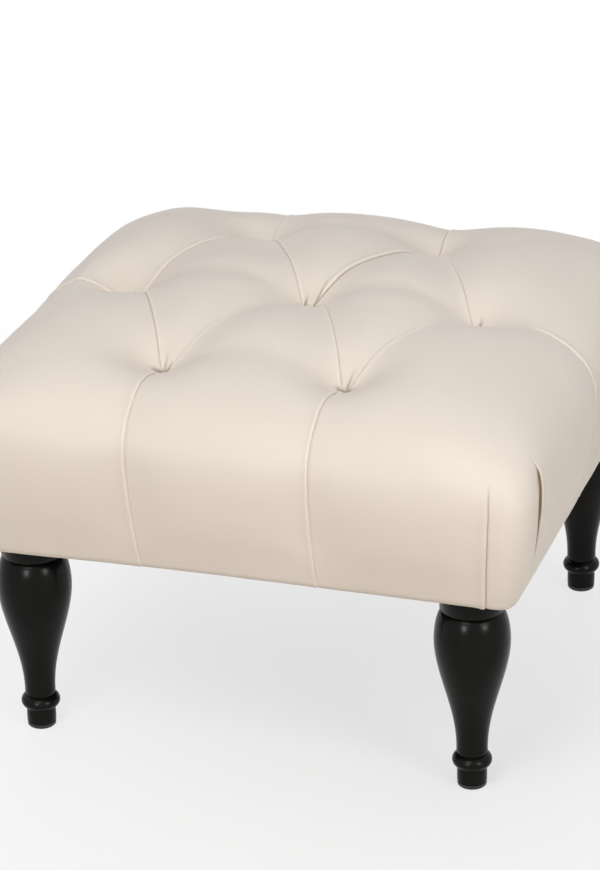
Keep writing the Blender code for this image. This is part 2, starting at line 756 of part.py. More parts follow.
def make_hanger_bolt(corner, x, y):
    bottom = LEG_TOP - BOLT_IN_LEG
    top = BLOCK_TOP + SEAT_GAP + NUT_FLANGE_THICKNESS + BOLT_ABOVE_NUT
    length = top - bottom
    point = 0.006
    chamfer = 0.001
    profile = [(0, length), (BOLT_RADIUS - chamfer, length), (BOLT_RADIUS, length - chamfer),
               (BOLT_RADIUS, point), (BOLT_RADIUS / 3, 0), (0, 0)]
    bolt = turned("hanger_bolt_" + corner, profile, 12, STEEL)
    bolt.location = (x * LEG_AXIS, y * LEG_AXIS, bottom)


def make_tee_nut(corner, x, y):
    bore = BOLT_RADIUS + SEAT_GAP
    top = BLOCK_TOP + SEAT_GAP + NUT_FLANGE_THICKNESS
    flange = -NUT_FLANGE_THICKNESS
    barrel = flange - NUT_BARREL_LENGTH
    profile = [(bore, 0), (NUT_FLANGE_RADIUS, 0), (NUT_FLANGE_RADIUS, flange),
               (NUT_BARREL_RADIUS, flange), (NUT_BARREL_RADIUS, barrel), (bore, barrel)]
    nut = turned("tee_nut_" + corner, profile, 12, STEEL, closed=True)
    nut.location = (x * LEG_AXIS, y * LEG_AXIS, top)


def make_legs():
    for corner, (x, y) in CORNERS.items():
        make_leg(corner, x, y)
        make_glide(corner, x, y)
        make_hanger_bolt(corner, x, y)
        make_tee_nut(corner, x, y)


# Tuft ties

def knot(level):
    """Half a round knot, from its top to its bottom, its ends on the twine."""
    points = []
    reach = math.sqrt(KNOT_RADIUS ** 2 - TWINE_RADIUS ** 2)
    for step in range(5):
        height = reach * (1 - step / 2)
        points.append((math.sqrt(KNOT_RADIUS ** 2 - height ** 2), level + height))
    return points


def make_tuft_ties():
    lines = pleats()
    knot_reach = math.sqrt(KNOT_RADIUS ** 2 - TWINE_RADIUS ** 2)
    washer_top = DECK_BOTTOM - SEAT_GAP
    washer_bottom = washer_top - WASHER_THICKNESS
    lower_knot = washer_bottom - SEAT_GAP - knot_reach
    for number, tuft in enumerate(TUFT_GRID, 1):
        place = tuft_place(*tuft)
        top = top_point(place.x, place.y, lines).z - COVER_THICKNESS - 2 * SEAT_GAP
        upper_knot = top - KNOT_RADIUS
        profile = [(0, top)] + knot(upper_knot)[1:] + knot(lower_knot)[:-1] + [(0, lower_knot - KNOT_RADIUS)]
        tie = turned("tuft_twine_%d" % number, profile, 8, TWINE)
        tie.location = (place.x, place.y, 0)
        bore = TWINE_RADIUS + SEAT_GAP
        ring = [(bore, washer_top), (WASHER_RADIUS, washer_top), (WASHER_RADIUS, washer_bottom),
                (bore, washer_bottom)]
        washer = turned("tuft_washer_%d" % number, ring, 12, STEEL, closed=True)
        washer.location = (place.x, place.y, 0)


make_cover()
make_foam_block()
make_side_foam()
make_dust_cloth()
make_rails()
make_corner_blocks()
make_deck()
make_screws()
make_legs()
make_tuft_ties()
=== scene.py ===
"""Dresses the square tufted footstool: its cover, legs and underside, and a plain studio.

Metres, +Z up, the front towards -Y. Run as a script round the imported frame.
"""

import math

import bpy
import numpy as np
from bpy.props import FloatProperty, FloatVectorProperty, PointerProperty
from mathutils import Matrix, Vector, noise
from mathutils.kdtree import KDTree


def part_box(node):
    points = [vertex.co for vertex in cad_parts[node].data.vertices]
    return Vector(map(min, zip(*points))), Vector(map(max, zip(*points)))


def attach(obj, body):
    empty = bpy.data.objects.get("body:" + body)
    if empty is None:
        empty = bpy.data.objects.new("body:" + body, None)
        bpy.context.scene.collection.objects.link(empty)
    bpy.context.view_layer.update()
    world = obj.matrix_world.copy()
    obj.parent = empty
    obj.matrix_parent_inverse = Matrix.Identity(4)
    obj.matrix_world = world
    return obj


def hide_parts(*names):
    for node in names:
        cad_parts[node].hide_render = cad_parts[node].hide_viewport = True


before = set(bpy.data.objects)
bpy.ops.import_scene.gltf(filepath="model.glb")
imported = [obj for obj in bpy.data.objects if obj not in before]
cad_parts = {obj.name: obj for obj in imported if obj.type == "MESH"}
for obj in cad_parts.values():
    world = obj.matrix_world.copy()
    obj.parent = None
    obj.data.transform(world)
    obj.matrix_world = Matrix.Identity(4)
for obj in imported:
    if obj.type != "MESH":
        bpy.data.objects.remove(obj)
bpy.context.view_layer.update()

bl_info = {
    "name": "Tufted footstool",
    "version": (1, 0, 0),
    "blender": (4, 5, 0),
    "location": "View3D > Sidebar > Footstool",
    "description": "Builds the cover, legs and underside of a tufted footstool",
    "category": "Object",
}

CORNERS = {"front_left": (-1, -1), "front_right": (1, -1), "back_left": (-1, 1), "back_right": (1, 1)}

# The tufts, by their place in the grid: how far each lies off it (across, along), how far its slit runs to the
# left and the right, how much deeper it is, how dark the painted shade in its slit is, and its gathers: start
# across, degrees from straight back, length, depth
TUFTS = {
    (-0.5, -1): (-0.005, 0.003, 0.0095, 0.0055, 0, 0.9,
                 ((0.0045, 3, 0.013, 0.0030), (0.001, -8, 0.024, 0.0014), (-0.002, 170, 0.010, 0.0008))),
    (0.5, -1): (-0.001, 0.003, 0.0080, 0.0060, 0, 0.8, ((0.0005, 4, 0.026, 0.002), (0.001, 188, 0.012, 0.0008))),
    (-1, 0): (-0.003, 0.004, 0.0170, 0.0050, 0, 0.15, ((-0.004, -8, 0.014, 0.0014), (0.002, 175, 0.010, 0.0008))),
    (0, 0): (0.003, -0.004, 0.0095, 0.0120, 0.0012, 0.5,
             ((-0.003, -7, 0.018, 0.0026), (0.004, 9, 0.044, 0.0020), (0.002, 184, 0.010, 0.0008))),
    (1, 0): (-0.002, 0.002, 0.0075, 0.0065, 0, 0.3, ((0.0005, 3, 0.017, 0.0032), (-0.001, 178, 0.012, 0.0008))),
    (-0.5, 1): (-0.005, -0.003, 0.0180, 0.0060, 0.001, 0.05, ((0, 6, 0.012, 0.0012), (0.002, 184, 0.010, 0.0008))),
    (0.5, 1): (0.001, -0.001, 0.0090, 0.0060, 0, 0.1, ((-0.003, -5, 0.012, 0.0012), (0.001, 178, 0.010, 0.0008))),
}
# Pleats between tufts: the two tufts, the side that lies over (1 is right), how full, how dark the painted shade
# in their crease is, and how far to the right of each tuft they end
TOP_PLEATS = (
    ((-0.5, -1), (-1, 0), 1, 0.8, 0.22, -0.001, 0.003),
    ((-0.5, -1), (0, 0), 1, 0.9, 0.10, 0.003, -0.007),
    ((0.5, -1), (0, 0), -1, 0.8, 0.12, -0.002, 0.012),
    ((0.5, -1), (1, 0), 1, 1.0, 0.36, 0.002, -0.006),
    ((-1, 0), (-0.5, 1), -1, 1.0, 0.05, 0.003, -0.014),
    ((0, 0), (-0.5, 1), 1, 0.8, 0.10, -0.004, 0.003),
    ((0, 0), (0.5, 1), -1, 1.4, 0.50, 0.003, -0.003),
    ((1, 0), (0.5, 1), -1, 0.9, 0.26, -0.004, 0.003),
)
# Pleats over the border: the tuft, the way they run, the side that lies over (1 is right or back), how full, how
# dark the painted shade in their crease is, how far sideways they leave the tuft, reach the rim and lean to the
# right below it, the share of their valley's depth left at the rim, and how far from the tuft the fold begins
BORDER_PLEATS = (
    ((-0.5, -1), (0, -1), -1, 0.9, 0.04, -0.0052, -0.0010, 0.0078, 0.35, 0),
    ((0.5, -1), (0, -1), -1, 0.9, 0.04, -0.0055, -0.0028, 0.0028, 0.35, 0),
    ((-1, 0), (-1, 0), 1, 1.0, 0.10, 0, 0, 0, 0.25, 0.014),
    ((1, 0), (1, 0), 1, 0.7, 0, 0, -0.0090, 0, 0.6, 0.050),
    ((-0.5, 1), (0, 1), 1, 0.8, 0.15, 0.005, 0.003, 0, 0.5, 0),
    ((0.5, 1), (0, 1), 1, 0.8, 0.50, 0.002, -0.003, 0, 0.6, 0),
)
# Soft valleys without a pleat, between the tufts of each row, and their share of a pleat's valley
ROW_VALLEYS = (((-0.5, -1), (0.5, -1), 0.62), ((-1, 0), (0, 0), 0.70), ((0, 0), (1, 0), 0.75),
               ((-0.5, 1), (0.5, 1), 0.75))
# Where the padding is fuller or flatter than the even form: place on the flat pattern, reach, height
FULLNESS = (
    (-0.205, -0.100, 0.060, 0.0025), (-0.200, -0.190, 0.060, 0.0030), (-0.215, 0.080, 0.060, 0.0050),
    (-0.242, 0.010, 0.040, 0.0085), (-0.185, 0.005, 0.028, -0.0025), (-0.205, 0.150, 0.050, 0.0040),
    (-0.165, 0.205, 0.050, -0.0082), (0.190, 0.190, 0.075, 0.0035), (0.190, -0.190, 0.070, 0.0010),
    (-0.215, -0.030, 0.030, 0.0015), (-0.095, 0.075, 0.042, -0.0060), (0.005, -0.060, 0.040, -0.0035),
    (0.080, 0.085, 0.045, -0.0050),
)
# A fold's section in millimetres: distances from the crease towards the side that lies over, heights, and shifts
# towards the other side
FOLD_SECTION = (
    (-8.0, -3.5, -1.5, -0.6, 0, 0.4, 0.8, 1.3, 1.9, 2.7, 3.8, 5.6, 8.5),
    (0, -0.12, -0.45, -0.95, -1.6, -0.8, 0.1, 0.75, 1.0, 0.9, 0.55, 0.18, 0),
    (0, 0, 0, 0, -0.1, 0.6, 0.9, 0.7, 0.3, 0.1, 0, 0, 0),
)
# The same for the folds beside the corners on the two sides, whose mouth stands open below the flap
OPEN_SECTION = (
    (-15.0, -8.0, -3.0, -1.0, -0.3, 0.3, 0.8, 1.3, 1.8, 2.6, 4.2, 7.0, 11.0),
    (0, -0.6, -1.4, -2.0, -2.4, -1.4, -0.5, 0, 0.6, 0.9, 0.6, 0.2, 0),
    (0, 0, 0, -0.4, -1.8, -2.4, -1.4, 0.4, 0.8, 0.4, 0, 0, 0),
)
# The corner folds' distance from the middle at five levels, on the front and back and on the sides
FOLD_LEVELS = (0.1946, 0.2200, 0.2550, 0.2850, 0.3100)
FRONT_FOLD_LINE = (0.2236, 0.2258, 0.2284, 0.2300, 0.2295)
SIDE_FOLD_LINE = (0.2100, 0.2145, 0.2205, 0.2205, 0.2150)
FRONT_FOLD = 0.0195     # of the corner folds from the corner, along the rim, on the front and back
SIDE_FOLD = 0.0300      # and on the two sides
CORNER_RUN = 0.130      # of the rim beside a corner, over which the pattern's edge follows the rounding
# The levels between which the corner folds and their open mouths lie, each with its run-out
FRONT_FOLD_SPAN = (0.1000, 0.010, 0.3130, 0.014)
SIDE_FOLD_SPAN = (0.2050, 0.040, 0.3210, 0.012)
MOUTH_SPAN = (0.2500, 0.034, 0.3150, 0.010)
# The level from which painted shade grows in the side folds' open mouths, and the rise over which it grows
MOUTH_SHADE = (0.2250, 0.030)

FOLD_FULLNESS = 1.1     # of the corner folds
FOLD_CREASE_SHADE = 0.25        # and how dark the painted shade in their crease is
CREASE_SHADE_HALF = 0.0006    # of the painted shade's width in a crease
HOLD_REACH = 0.016      # of a pleat or a corner fold, over which it holds the cover in the simulation
UNEVEN = 0.0009         # of the cover's surface, in soft waves

# The cover's mesh
PATCH_STEPS = 27
SIDE_ROWS = 36
TUFT_FINE = 0.0006      # spacing at a tuft, along its pleats
PLEAT_FINE = 0.0004     # and beside a pleat or at a fold, growing from there to the panel's crown
PLEAT_END = 0.006       # over which a pleat fades in


# Sizes and colours that a user would change

def number(label, about, default, **more):
    return FloatProperty(name=label, description=about, default=default, **more)


def length(label, about, default):
    return number(label, about, default, unit="LENGTH", subtype="DISTANCE", precision=4)


def power(label, about, default):
    return number(label, about, default, unit="POWER")


def colour(label, about, default):
    return FloatVectorProperty(name=label, description=about, default=default, size=3, min=0, max=1,
                               subtype="COLOR")


class FootstoolSeat(bpy.types.PropertyGroup):
    bottom_level: length("Bottom edge", "Height of the cover's lower edge", 0.1946)
    belly_level: length("Widest level", "Height at which the seat is widest", 0.2886)
    rim_level: length("Rim", "Height at which the top panel meets the sides", 0.3516)
    crown_level: length("Crown", "Height of the seat's untufted top", 0.3816)
    belly_half: length("Half width", "Half of the seat's widest size", 0.265)
    belly_out: length("Belly", "How far the faces swell beyond the bottom edge", 0.0185)
    fullness: number("Fullness", "How square the rounding from face to top is", 2.6)
    draw_in: number("Draw-in", "How late the faces turn in below", 1.8)
    bottom_corner: length("Lower corner radius", "Plan radius of the corners at the bottom", 0.014)
    belly_corner: length("Middle corner radius", "Plan radius of the corners at the widest level", 0.038)
    rim_corner: length("Upper corner radius", "Plan radius of the corners at the rim", 0.076)
    voxel: length("Voxel", "Mesh size of the padding's simulation", 0.006)
    pressure: number("Pressure", "Pressure in the padding's simulation", 60)
    swell: length("Swell", "Most that the simulation moves the cover", 0.006)
    turn_under: length("Turn-under", "Width of the cover turned under the frame", 0.030)
    cloth: length("Cover thickness", "Thickness of the cover", 0.0012)
    tuft_spacing: length("Tuft spacing", "Between the tufts of a row, and between rows", 0.160)
    shift_x: length("Pattern shift across", "Of the middle tuft from the seat's middle", -0.007)
    shift_y: length("Pattern shift along", "Of the middle tuft from the seat's middle", -0.004)
    drift: length("Row drift", "Each row's step sideways from the row before it", -0.0055)
    tuft_depth: length("Tuft depth", "How far the tufts are drawn down", 0.030)
    tuft_reach: length("Tuft reach", "Radius over which a tuft draws the top down", 0.033)
    slit_depth: length("Slit depth", "Depth of the gathered slit in each tuft", 0.0025)
    valley_depth: length("Valley depth", "Depth of the valley along each pleat", 0.0090)
    valley_reach: length("Valley reach", "Half width of the valley along each pleat", 0.030)
    row_reach: length("Row valley reach", "Half width of the soft valleys between tufts", 0.021)
    slack: length("Slack", "Sag of the lower edge at the left of the front", 0.0036)
    leather: colour("Cover", "Colour of the cover", (0.79, 0.71, 0.64))


class FootstoolLegs(bpy.types.PropertyGroup):
    inset: length("Leg place", "Of each leg's axis from the middle, both ways", 0.200)
    bottom: length("Leg bottom", "Height of the leg's lower end, on its glide", 0.0043)
    height: length("Leg height", "Length of a leg", 0.189)
    bulb_radius: length("Bulb radius", "Largest radius of a leg", 0.0330)
    notch_radius: length("Notch radius", "Radius of the notch under the collar", 0.0255)
    bulb_level: length("Bulb level", "Of the widest part, above the leg's lower end", 0.1362)
    neck_radius: length("Neck radius", "Smallest radius of a leg", 0.0136)
    ring_radius: length("Ring radius", "Radius of the turned ring", 0.0174)
    ring_level: length("Ring level", "Of the ring, above the leg's lower end", 0.0205)
    ring_half: length("Ring half height", "Half of the ring's height", 0.0062)
    foot_radius: length("Foot radius", "Radius of the foot under the ring", 0.013)
    collar_radius: length("Collar radius", "Radius of the collar under the seat", 0.0281)
    collar_height: length("Collar height", "Of the collar under the seat", 0.0222)
    paint: colour("Paint", "Colour of the painted legs", (0.0045, 0.0042, 0.0035))


class FootstoolStage(bpy.types.PropertyGroup):
    key: power("Key light", "Power of the main light", 33.5)
    fill: power("Fill light", "Power of the side light", 17)
    glint: power("Glint", "Power of the low lamp that only glossy paint shows", 30)
    sky: number("Sky", "Strength of the light from all round", 0.42)
    floor: colour("Floor", "Colour of the floor", (0.86, 0.86, 0.86))
    bounce: colour("Bounce", "Colour of the light that the floor throws up", (0.74, 0.68, 0.60))


# Shader node groups

def node(tree, kind, links=(), **values):
    made = tree.nodes.new("ShaderNode" + kind)
    for name, value in values.items():
        setattr(made, name, value)
    for socket, value in dict(links).items():
        if isinstance(value, bpy.types.NodeSocket):
            tree.links.new(value, made.inputs[socket])
        else:
            made.inputs[socket].default_value = value
    return made


def result_of(tree, operation, first, second, kind="Math"):
    """Two numbers, or two vectors with VectorMath, worked into one."""
    return node(tree, kind, {0: first, 1: second}, operation=operation).outputs[0]


def place_on(tree):
    return node(tree, "TexCoord").outputs["Object"]


def new_group(name, inputs, outputs):
    group = bpy.data.node_groups.new(name, "ShaderNodeTree")
    for label, default in inputs.items():
        kind = "NodeSocketVector" if isinstance(default, tuple) else "NodeSocketFloat"
        group.interface.new_socket(name=label, in_out="INPUT", socket_type=kind).default_value = default
    for label in outputs:
        group.interface.new_socket(name=label, in_out="OUTPUT", socket_type="NodeSocketFloat")
    return group, group.nodes.new("NodeGroupInput").outputs, group.nodes.new("NodeGroupOutput").inputs


def cloud_group():
    """Soft clouds on object coordinates: an even mask around one half."""
    group, given, result = new_group("clouds", {"Scale": 10.0}, ["Mask"])
    cloud = node(group, "TexNoise", {"Vector": place_on(group), "Scale": given["Scale"], "Detail": 3.0})
    group.links.new(cloud.outputs["Fac"], result["Mask"])
    return group


def pebble_group():
    """The fine pebbled grain of a coated leather cloth, as a height."""
    group, given, result = new_group("leather_grain", {"Scale": 900.0}, ["Height"])
    where = place_on(group)
    warp = node(group, "TexNoise", {"Vector": where, "Scale": 160.0, "Detail": 2.0})
    push = result_of(group, "MULTIPLY", warp.outputs["Color"], (0.004, 0.004, 0.004), "VectorMath")
    spot = result_of(group, "ADD", where, push, "VectorMath")
    cells = node(group, "TexVoronoi", {"Vector": spot, "Scale": given["Scale"]}, feature="SMOOTH_F1")
    fine = node(group, "TexNoise", {"Vector": where, "Scale": 2400.0, "Detail": 2.0})
    group.links.new(result_of(group, "MULTIPLY", cells.outputs["Distance"], fine.outputs["Fac"]), result["Height"])
    return group


def wood_group():
    """Long grain along one axis of the object coordinates: a mask and a height."""
    group, given, result = new_group("wood_grain", {"Stretch": (1.0, 14.0, 14.0), "Scale": 12.0}, ["Mask", "Height"])
    long = result_of(group, "MULTIPLY", place_on(group), given["Stretch"], "VectorMath")
    bands = node(group, "TexNoise", {"Vector": long, "Scale": given["Scale"], "Detail": 6.0, "Roughness": 0.6,
                                     "Distortion": 0.6})
    pores = node(group, "TexNoise", {"Vector": long, "Scale": 90.0, "Detail": 2.0})
    group.links.new(bands.outputs["Fac"], result["Mask"])
    group.links.new(pores.outputs["Fac"], result["Height"])
    return group


GROUPS = {}


def shared(tree, name, output, **values):
    """Places a shared effect in a material, with its own values."""
    if name not in GROUPS:
        GROUPS[name] = {"clouds": cloud_group, "leather_grain": pebble_group, "wood_grain": wood_group}[name]()
    made = tree.nodes.new("ShaderNodeGroup")
    made.node_tree = GROUPS[name]
    for label, value in values.items():
        made.inputs[label.title()].default_value = value
    return made.outputs[output]


# Materials

def new_material(name, **values):
    material = bpy.data.materials.new(name)
    material.use_nodes = True
    shader = material.node_tree.nodes["Principled BSDF"]
    for label, value in values.items():
        shader.inputs[label.replace("_", " ")].default_value = value
    return material, material.node_tree, shader


def blend(tree, mask, first, second):
    """Mixes two colours, each a tint or another node's output."""
    ways = [way if isinstance(way, bpy.types.NodeSocket) else (*way, 1) for way in (first, second)]
    return node(tree, "Mix", {0: mask, 6: ways[0], 7: ways[1]}, data_type="RGBA").outputs[2]


def spread_of(tree, mask, low, high, start=0.3, end=0.7):
    """Turns a mask around one half into values from low to high."""
    return node(tree, "MapRange", {"Value": mask, "From Min": start, "From Max": end, "To Min": low,
                                   "To Max": high}).outputs["Result"]


def bump(tree, shader, height, distance, strength=1.0):
    made = node(tree, "Bump", {"Height": height, "Distance": distance, "Strength": strength})
    tree.links.new(made.outputs["Normal"], shader.inputs["Normal"])


def vary(tree, shader, mask, tones, rough, span=(0.3, 0.7)):
    """Gives the surface two tones and a range of roughness by one mask."""
    tone = spread_of(tree, mask, 0.0, 1.0, *span)
    tree.links.new(blend(tree, tone, *tones), shader.inputs["Base Color"])
    tree.links.new(spread_of(tree, mask, *rough), shader.inputs["Roughness"])


def shade(tint, shares):
    """A tint times one share, or a share for each channel."""
    return np.multiply(tint, shares).tolist()


def cover_leather(tint):
    """Smooth coated leather cloth with a fine grain; painted shade in hollow places and creases, a painted highlight
    on pleats' lips.
    """
    material, tree, shader = new_material("cream_leather", Sheen_Weight=0.15, Sheen_Roughness=0.4,
                                          Specular_IOR_Level=0.4)
    clouds = spread_of(tree, shared(tree, "clouds", "Mask", scale=7.0), 0.0, 1.0)
    # Painted shade where the surface is hollow, from its pointiness, then the painted shade and highlight stored on
    # the cover
    hollow_shade = spread_of(tree, node(tree, "NewGeometry").outputs["Pointiness"], 0.0, 1.0, 0.50, 0.42)
    painted_shading = node(tree, "Attribute", attribute_name="painted_shading").outputs["Fac"]
    lip_highlight = result_of(tree, "MULTIPLY", painted_shading, -1.0)
    tone = shade(tint, 0.975)
    # Soft clouds of tone, then painted shade in hollow places, brown painted shade in creases and a painted highlight
    # on lips
    for mask, shares in ((clouds, 1.015), (hollow_shade, (0.80, 0.76, 0.68)), (painted_shading, (0.22, 0.17, 0.09)),
                         (lip_highlight, (1.10, 1.10, 1.09))):
        tone = blend(tree, mask, tone, shade(tint, shares))
    tree.links.new(tone, shader.inputs["Base Color"])
    patches = shared(tree, "clouds", "Mask", scale=24.0)
    tree.links.new(spread_of(tree, patches, 0.50, 0.58), shader.inputs["Roughness"])
    bump(tree, shader, shared(tree, "leather_grain", "Height", scale=1100.0), 0.00015, 0.6)
    return material


def cloudy(name, scale, tones, rough, relief, depth, strength=1.0, **values):
    """A finish that varies in soft clouds, with a fine relief: a shared effect, its output and its values."""
    material, tree, shader = new_material(name, **values)
    vary(tree, shader, shared(tree, "clouds", "Mask", scale=scale), tones, rough)
    effect, output, sizes = relief
    bump(tree, shader, shared(tree, effect, output, **sizes), depth, strength)
    return material


def painted_wood(tint):
    """Nearly black paint with a soft gloss over turned wood."""
    return cloudy("black_painted_wood", 30.0, (shade(tint, 0.85), shade(tint, 1.3)), (0.20, 0.25),
                  ("wood_grain", "Mask", {"stretch": (10.0, 10.0, 1.0), "scale": 14.0}), 0.0002, 0.15,
                  Specular_IOR_Level=0.11)


def zinc_steel():
    return cloudy("zinc_steel", 300.0, ((0.50, 0.51, 0.53), (0.68, 0.69, 0.71)), (0.28, 0.48),
                  ("clouds", "Mask", {"scale": 300.0}), 0.00005, 0.5, Metallic=1.0)


def open_foam():
    return cloudy("foam", 16.0, ((0.80, 0.74, 0.48), (0.88, 0.83, 0.60)), (0.90, 1.0),
                  ("leather_grain", "Height", {"scale": 700.0}), 0.0006)


def glide_plastic():
    return cloudy("glide_plastic", 120.0, ((0.006, 0.006, 0.006), (0.014, 0.014, 0.013)), (0.4, 0.6),
                  ("leather_grain", "Height", {"scale": 1600.0}), 0.00008)


def bare_wood(name, light, dark, stretch):
    material, tree, shader = new_material(name)
    grain = shared(tree, "wood_grain", "Mask", stretch=stretch)
    vary(tree, shader, grain, (light, dark), (0.62, 0.8), (0.35, 0.65))
    bump(tree, shader, grain.node.outputs["Height"], 0.0003, 0.5)
    return material


def woven_black():
    """Thin black cloth pressed from fibres, with a dotted bond."""
    material, tree, shader = new_material("black_cloth", Sheen_Weight=0.2, Sheen_Roughness=0.6)
    dots = node(tree, "TexVoronoi", {"Vector": place_on(tree), "Scale": 500.0, "Randomness": 0.15}).outputs["Distance"]
    vary(tree, shader, dots, ((0.012, 0.012, 0.013), (0.035, 0.035, 0.037)), (0.75, 0.95, 0.1, 0.6), (0.1, 0.6))
    bump(tree, shader, dots, 0.0002, 0.7)
    return material


def twisted_twine():
    material, tree, shader = new_material("twine", Sheen_Weight=0.2, Sheen_Roughness=0.5)
    strands = node(tree, "TexWave", {"Vector": place_on(tree), "Scale": 260.0, "Distortion": 1.5},
                   bands_direction="DIAGONAL").outputs["Fac"]
    vary(tree, shader, strands, ((0.60, 0.56, 0.48), (0.82, 0.79, 0.71)), (0.7, 0.9, 0.0, 1.0), (0.0, 1.0))
    bump(tree, shader, strands, 0.0003)
    return material


def give(piece, material):
    piece.data.materials.clear()
    piece.data.materials.append(material)


# The seat's form, for arrays of points

def smoothstep(share):
    share = np.clip(share, 0, 1)
    return share * share * (3 - 2 * share)


def bell(distance, reach, power=2):
    return np.exp(-(distance / reach) ** power)


def within(level, low, rise, high, fall):
    """From 0 outside a stretch of levels to 1 inside it, with a run-out at each end."""
    return smoothstep((level - low) / rise) * smoothstep((high - level) / fall)


def half_width(seat, level):
    rise = np.clip((level - seat.belly_level) / (seat.crown_level - seat.belly_level), 0, 1)
    above = seat.belly_half * (1 - rise ** seat.fullness) ** (1 / seat.fullness)
    sink = np.clip((seat.belly_level - level) / (seat.belly_level - seat.bottom_level), 0, 1)
    below = seat.belly_half - seat.belly_out * sink ** seat.draw_in
    return np.where(level >= seat.belly_level, above, below)


def rim_half(seat):
    """Half of the flat pattern's width."""
    return float(half_width(seat, np.array(seat.rim_level)))


def squareness(seat, level):
    """Exponent of the rounded square whose corners have the radius of this level."""
    up = (level - seat.belly_level) / (seat.rim_level - seat.belly_level)
    down = (level - seat.bottom_level) / (seat.belly_level - seat.bottom_level)
    radius = np.where(level >= seat.belly_level, seat.belly_corner + (seat.rim_corner - seat.belly_corner) * up,
                      seat.bottom_corner + (seat.belly_corner - seat.bottom_corner) * down)
    half = np.maximum(half_width(seat, level), 0.001)
    return -math.log(2) / np.log(1 - (1 - math.sqrt(0.5)) * np.minimum(radius / half, 0.9))


def top_height(seat, x, y):
    low, high = np.full(len(x), seat.belly_level), np.full(len(x), seat.crown_level)
    for _ in range(34):
        level = (low + high) / 2
        square = squareness(seat, level)
        inside = (np.abs(x) ** square + np.abs(y) ** square) ** (1 / square) < half_width(seat, level)
        low, high = np.where(inside, level, low), np.where(inside, high, level)
    return low


def outline_point(seat, u, v, level):
    """Points of the square pattern's edge, laid on the seat's outline at their levels."""
    rim = rim_half(seat)
    straight = rim - CORNER_RUN
    square, half = squareness(seat, level), half_width(seat, level)
    corner = half * 0.5 ** (1 / square)
    along_y = np.abs(u) >= np.abs(v)
    station = np.where(along_y, v, u)
    past = np.maximum(np.abs(station) - straight, 0) / (rim - straight)
    place = np.minimum(np.abs(station), straight) + past * (corner - straight)
    reach = np.maximum(half ** square - place ** square, 0) ** (1 / square)
    place = np.copysign(place, station)
    return np.where(along_y, np.copysign(reach, u), place), np.where(along_y, place, np.copysign(reach, v))


def tuft_place(seat, column, row):
    off = TUFTS.get((column, row), (0.0, 0.0))
    return np.array([seat.shift_x + column * seat.tuft_spacing + row * seat.drift + off[0],
                     seat.shift_y + row * seat.tuft_spacing + off[1]])


# The cover's flat pattern, as patches whose edges run along the pleats

def graded(distance, steps, first):
    """Shares of a distance, close together at its start."""
    if first * steps >= distance:
        return np.linspace(0, 1, steps + 1)
    low, high = 1.0001, 2.0
    for _ in range(60):
        ratio = (low + high) / 2
        total = first * (ratio ** steps - 1) / (ratio - 1)
        low, high = (low, ratio) if total > distance else (ratio, high)
    return (ratio ** np.arange(steps + 1) - 1) / (ratio ** steps - 1)


def chord_shares(line):
    total = np.concatenate([[0], np.cumsum(np.hypot(*np.diff(line, axis=0).T))])
    return total / total[-1]


class Pleat:
    """One pleat on the flat pattern."""

    def __init__(self, start, end, over, fullness, dark, leave, arrive, lean=0.0, valley_left=1.0, begins=None):
        self.start, self.end, self.length = start, end, float(np.hypot(*(end - start)))
        self.along = (end - start) / self.length
        right = np.array([self.along[1], -self.along[0]])
        self.across = right if (right[0] > 0 if abs(right[0]) > 0.3 else right[1] > 0) else -right
        self.over, self.fullness, self.dark, self.valley_left = over, fullness, dark, valley_left
        self.leave, self.arrive, self.lean = leave, arrive, lean
        self.to_border, self.begins = begins is not None, begins or 0.0

    def offset(self, along):
        """Sideways offset of the line, straight between two slits or curling out of one towards the rim."""
        if self.to_border:
            return self.leave * bell(along, 0.030, 1.5)
        share = along / self.length
        return self.leave * (1 - share) + self.arrive * share

    def inside(self, along):
        """From 0 at the pleat's ends, or its tuft where it runs over the border, to 1 a little way in."""
        start = smoothstep(along / PLEAT_END)
        return start if self.to_border else start * smoothstep((self.length - along) / PLEAT_END)

    def line(self, flip):
        """Points from one end to the middle of the pleat or, over the border, to the rim, fine at the tuft."""
        reach = 1 if self.to_border else 0.5
        share = graded(self.length * reach, PATCH_STEPS, TUFT_FINE) * reach
        along = (1 - share if flip else share) * self.length
        aside = self.offset(along) * self.inside(along)
        points = self.start + np.outer(along, self.along) + np.outer(aside, self.across)
        if self.to_border:
            points[-1] = self.end
        return points

    def measure(self, plan):
        """For points of the pattern: the distance along the pleat, across it, and from it with its ends."""
        away = plan - self.start
        along = away @ self.along
        across = away @ self.across - self.offset(np.clip(along, 0, self.length))
        past = np.maximum(-along, 0) + (0 if self.to_border else np.maximum(along - self.length, 0))
        return along, across, np.hypot(across, past)


def all_pleats(seat):
    pleats = {}
    for first, second, *form in TOP_PLEATS:
        pleats[first, second] = Pleat(tuft_place(seat, *first), tuft_place(seat, *second), *form)
    for tuft, way, over, fullness, dark, leave, aside, *form in BORDER_PLEATS:
        start = tuft_place(seat, *tuft)
        end = np.where(np.array(way) != 0, np.array(way) * rim_half(seat), start + aside)
        pleats[tuft, way] = Pleat(start, end, over, fullness, dark, leave, 0.0, *form)
    return pleats


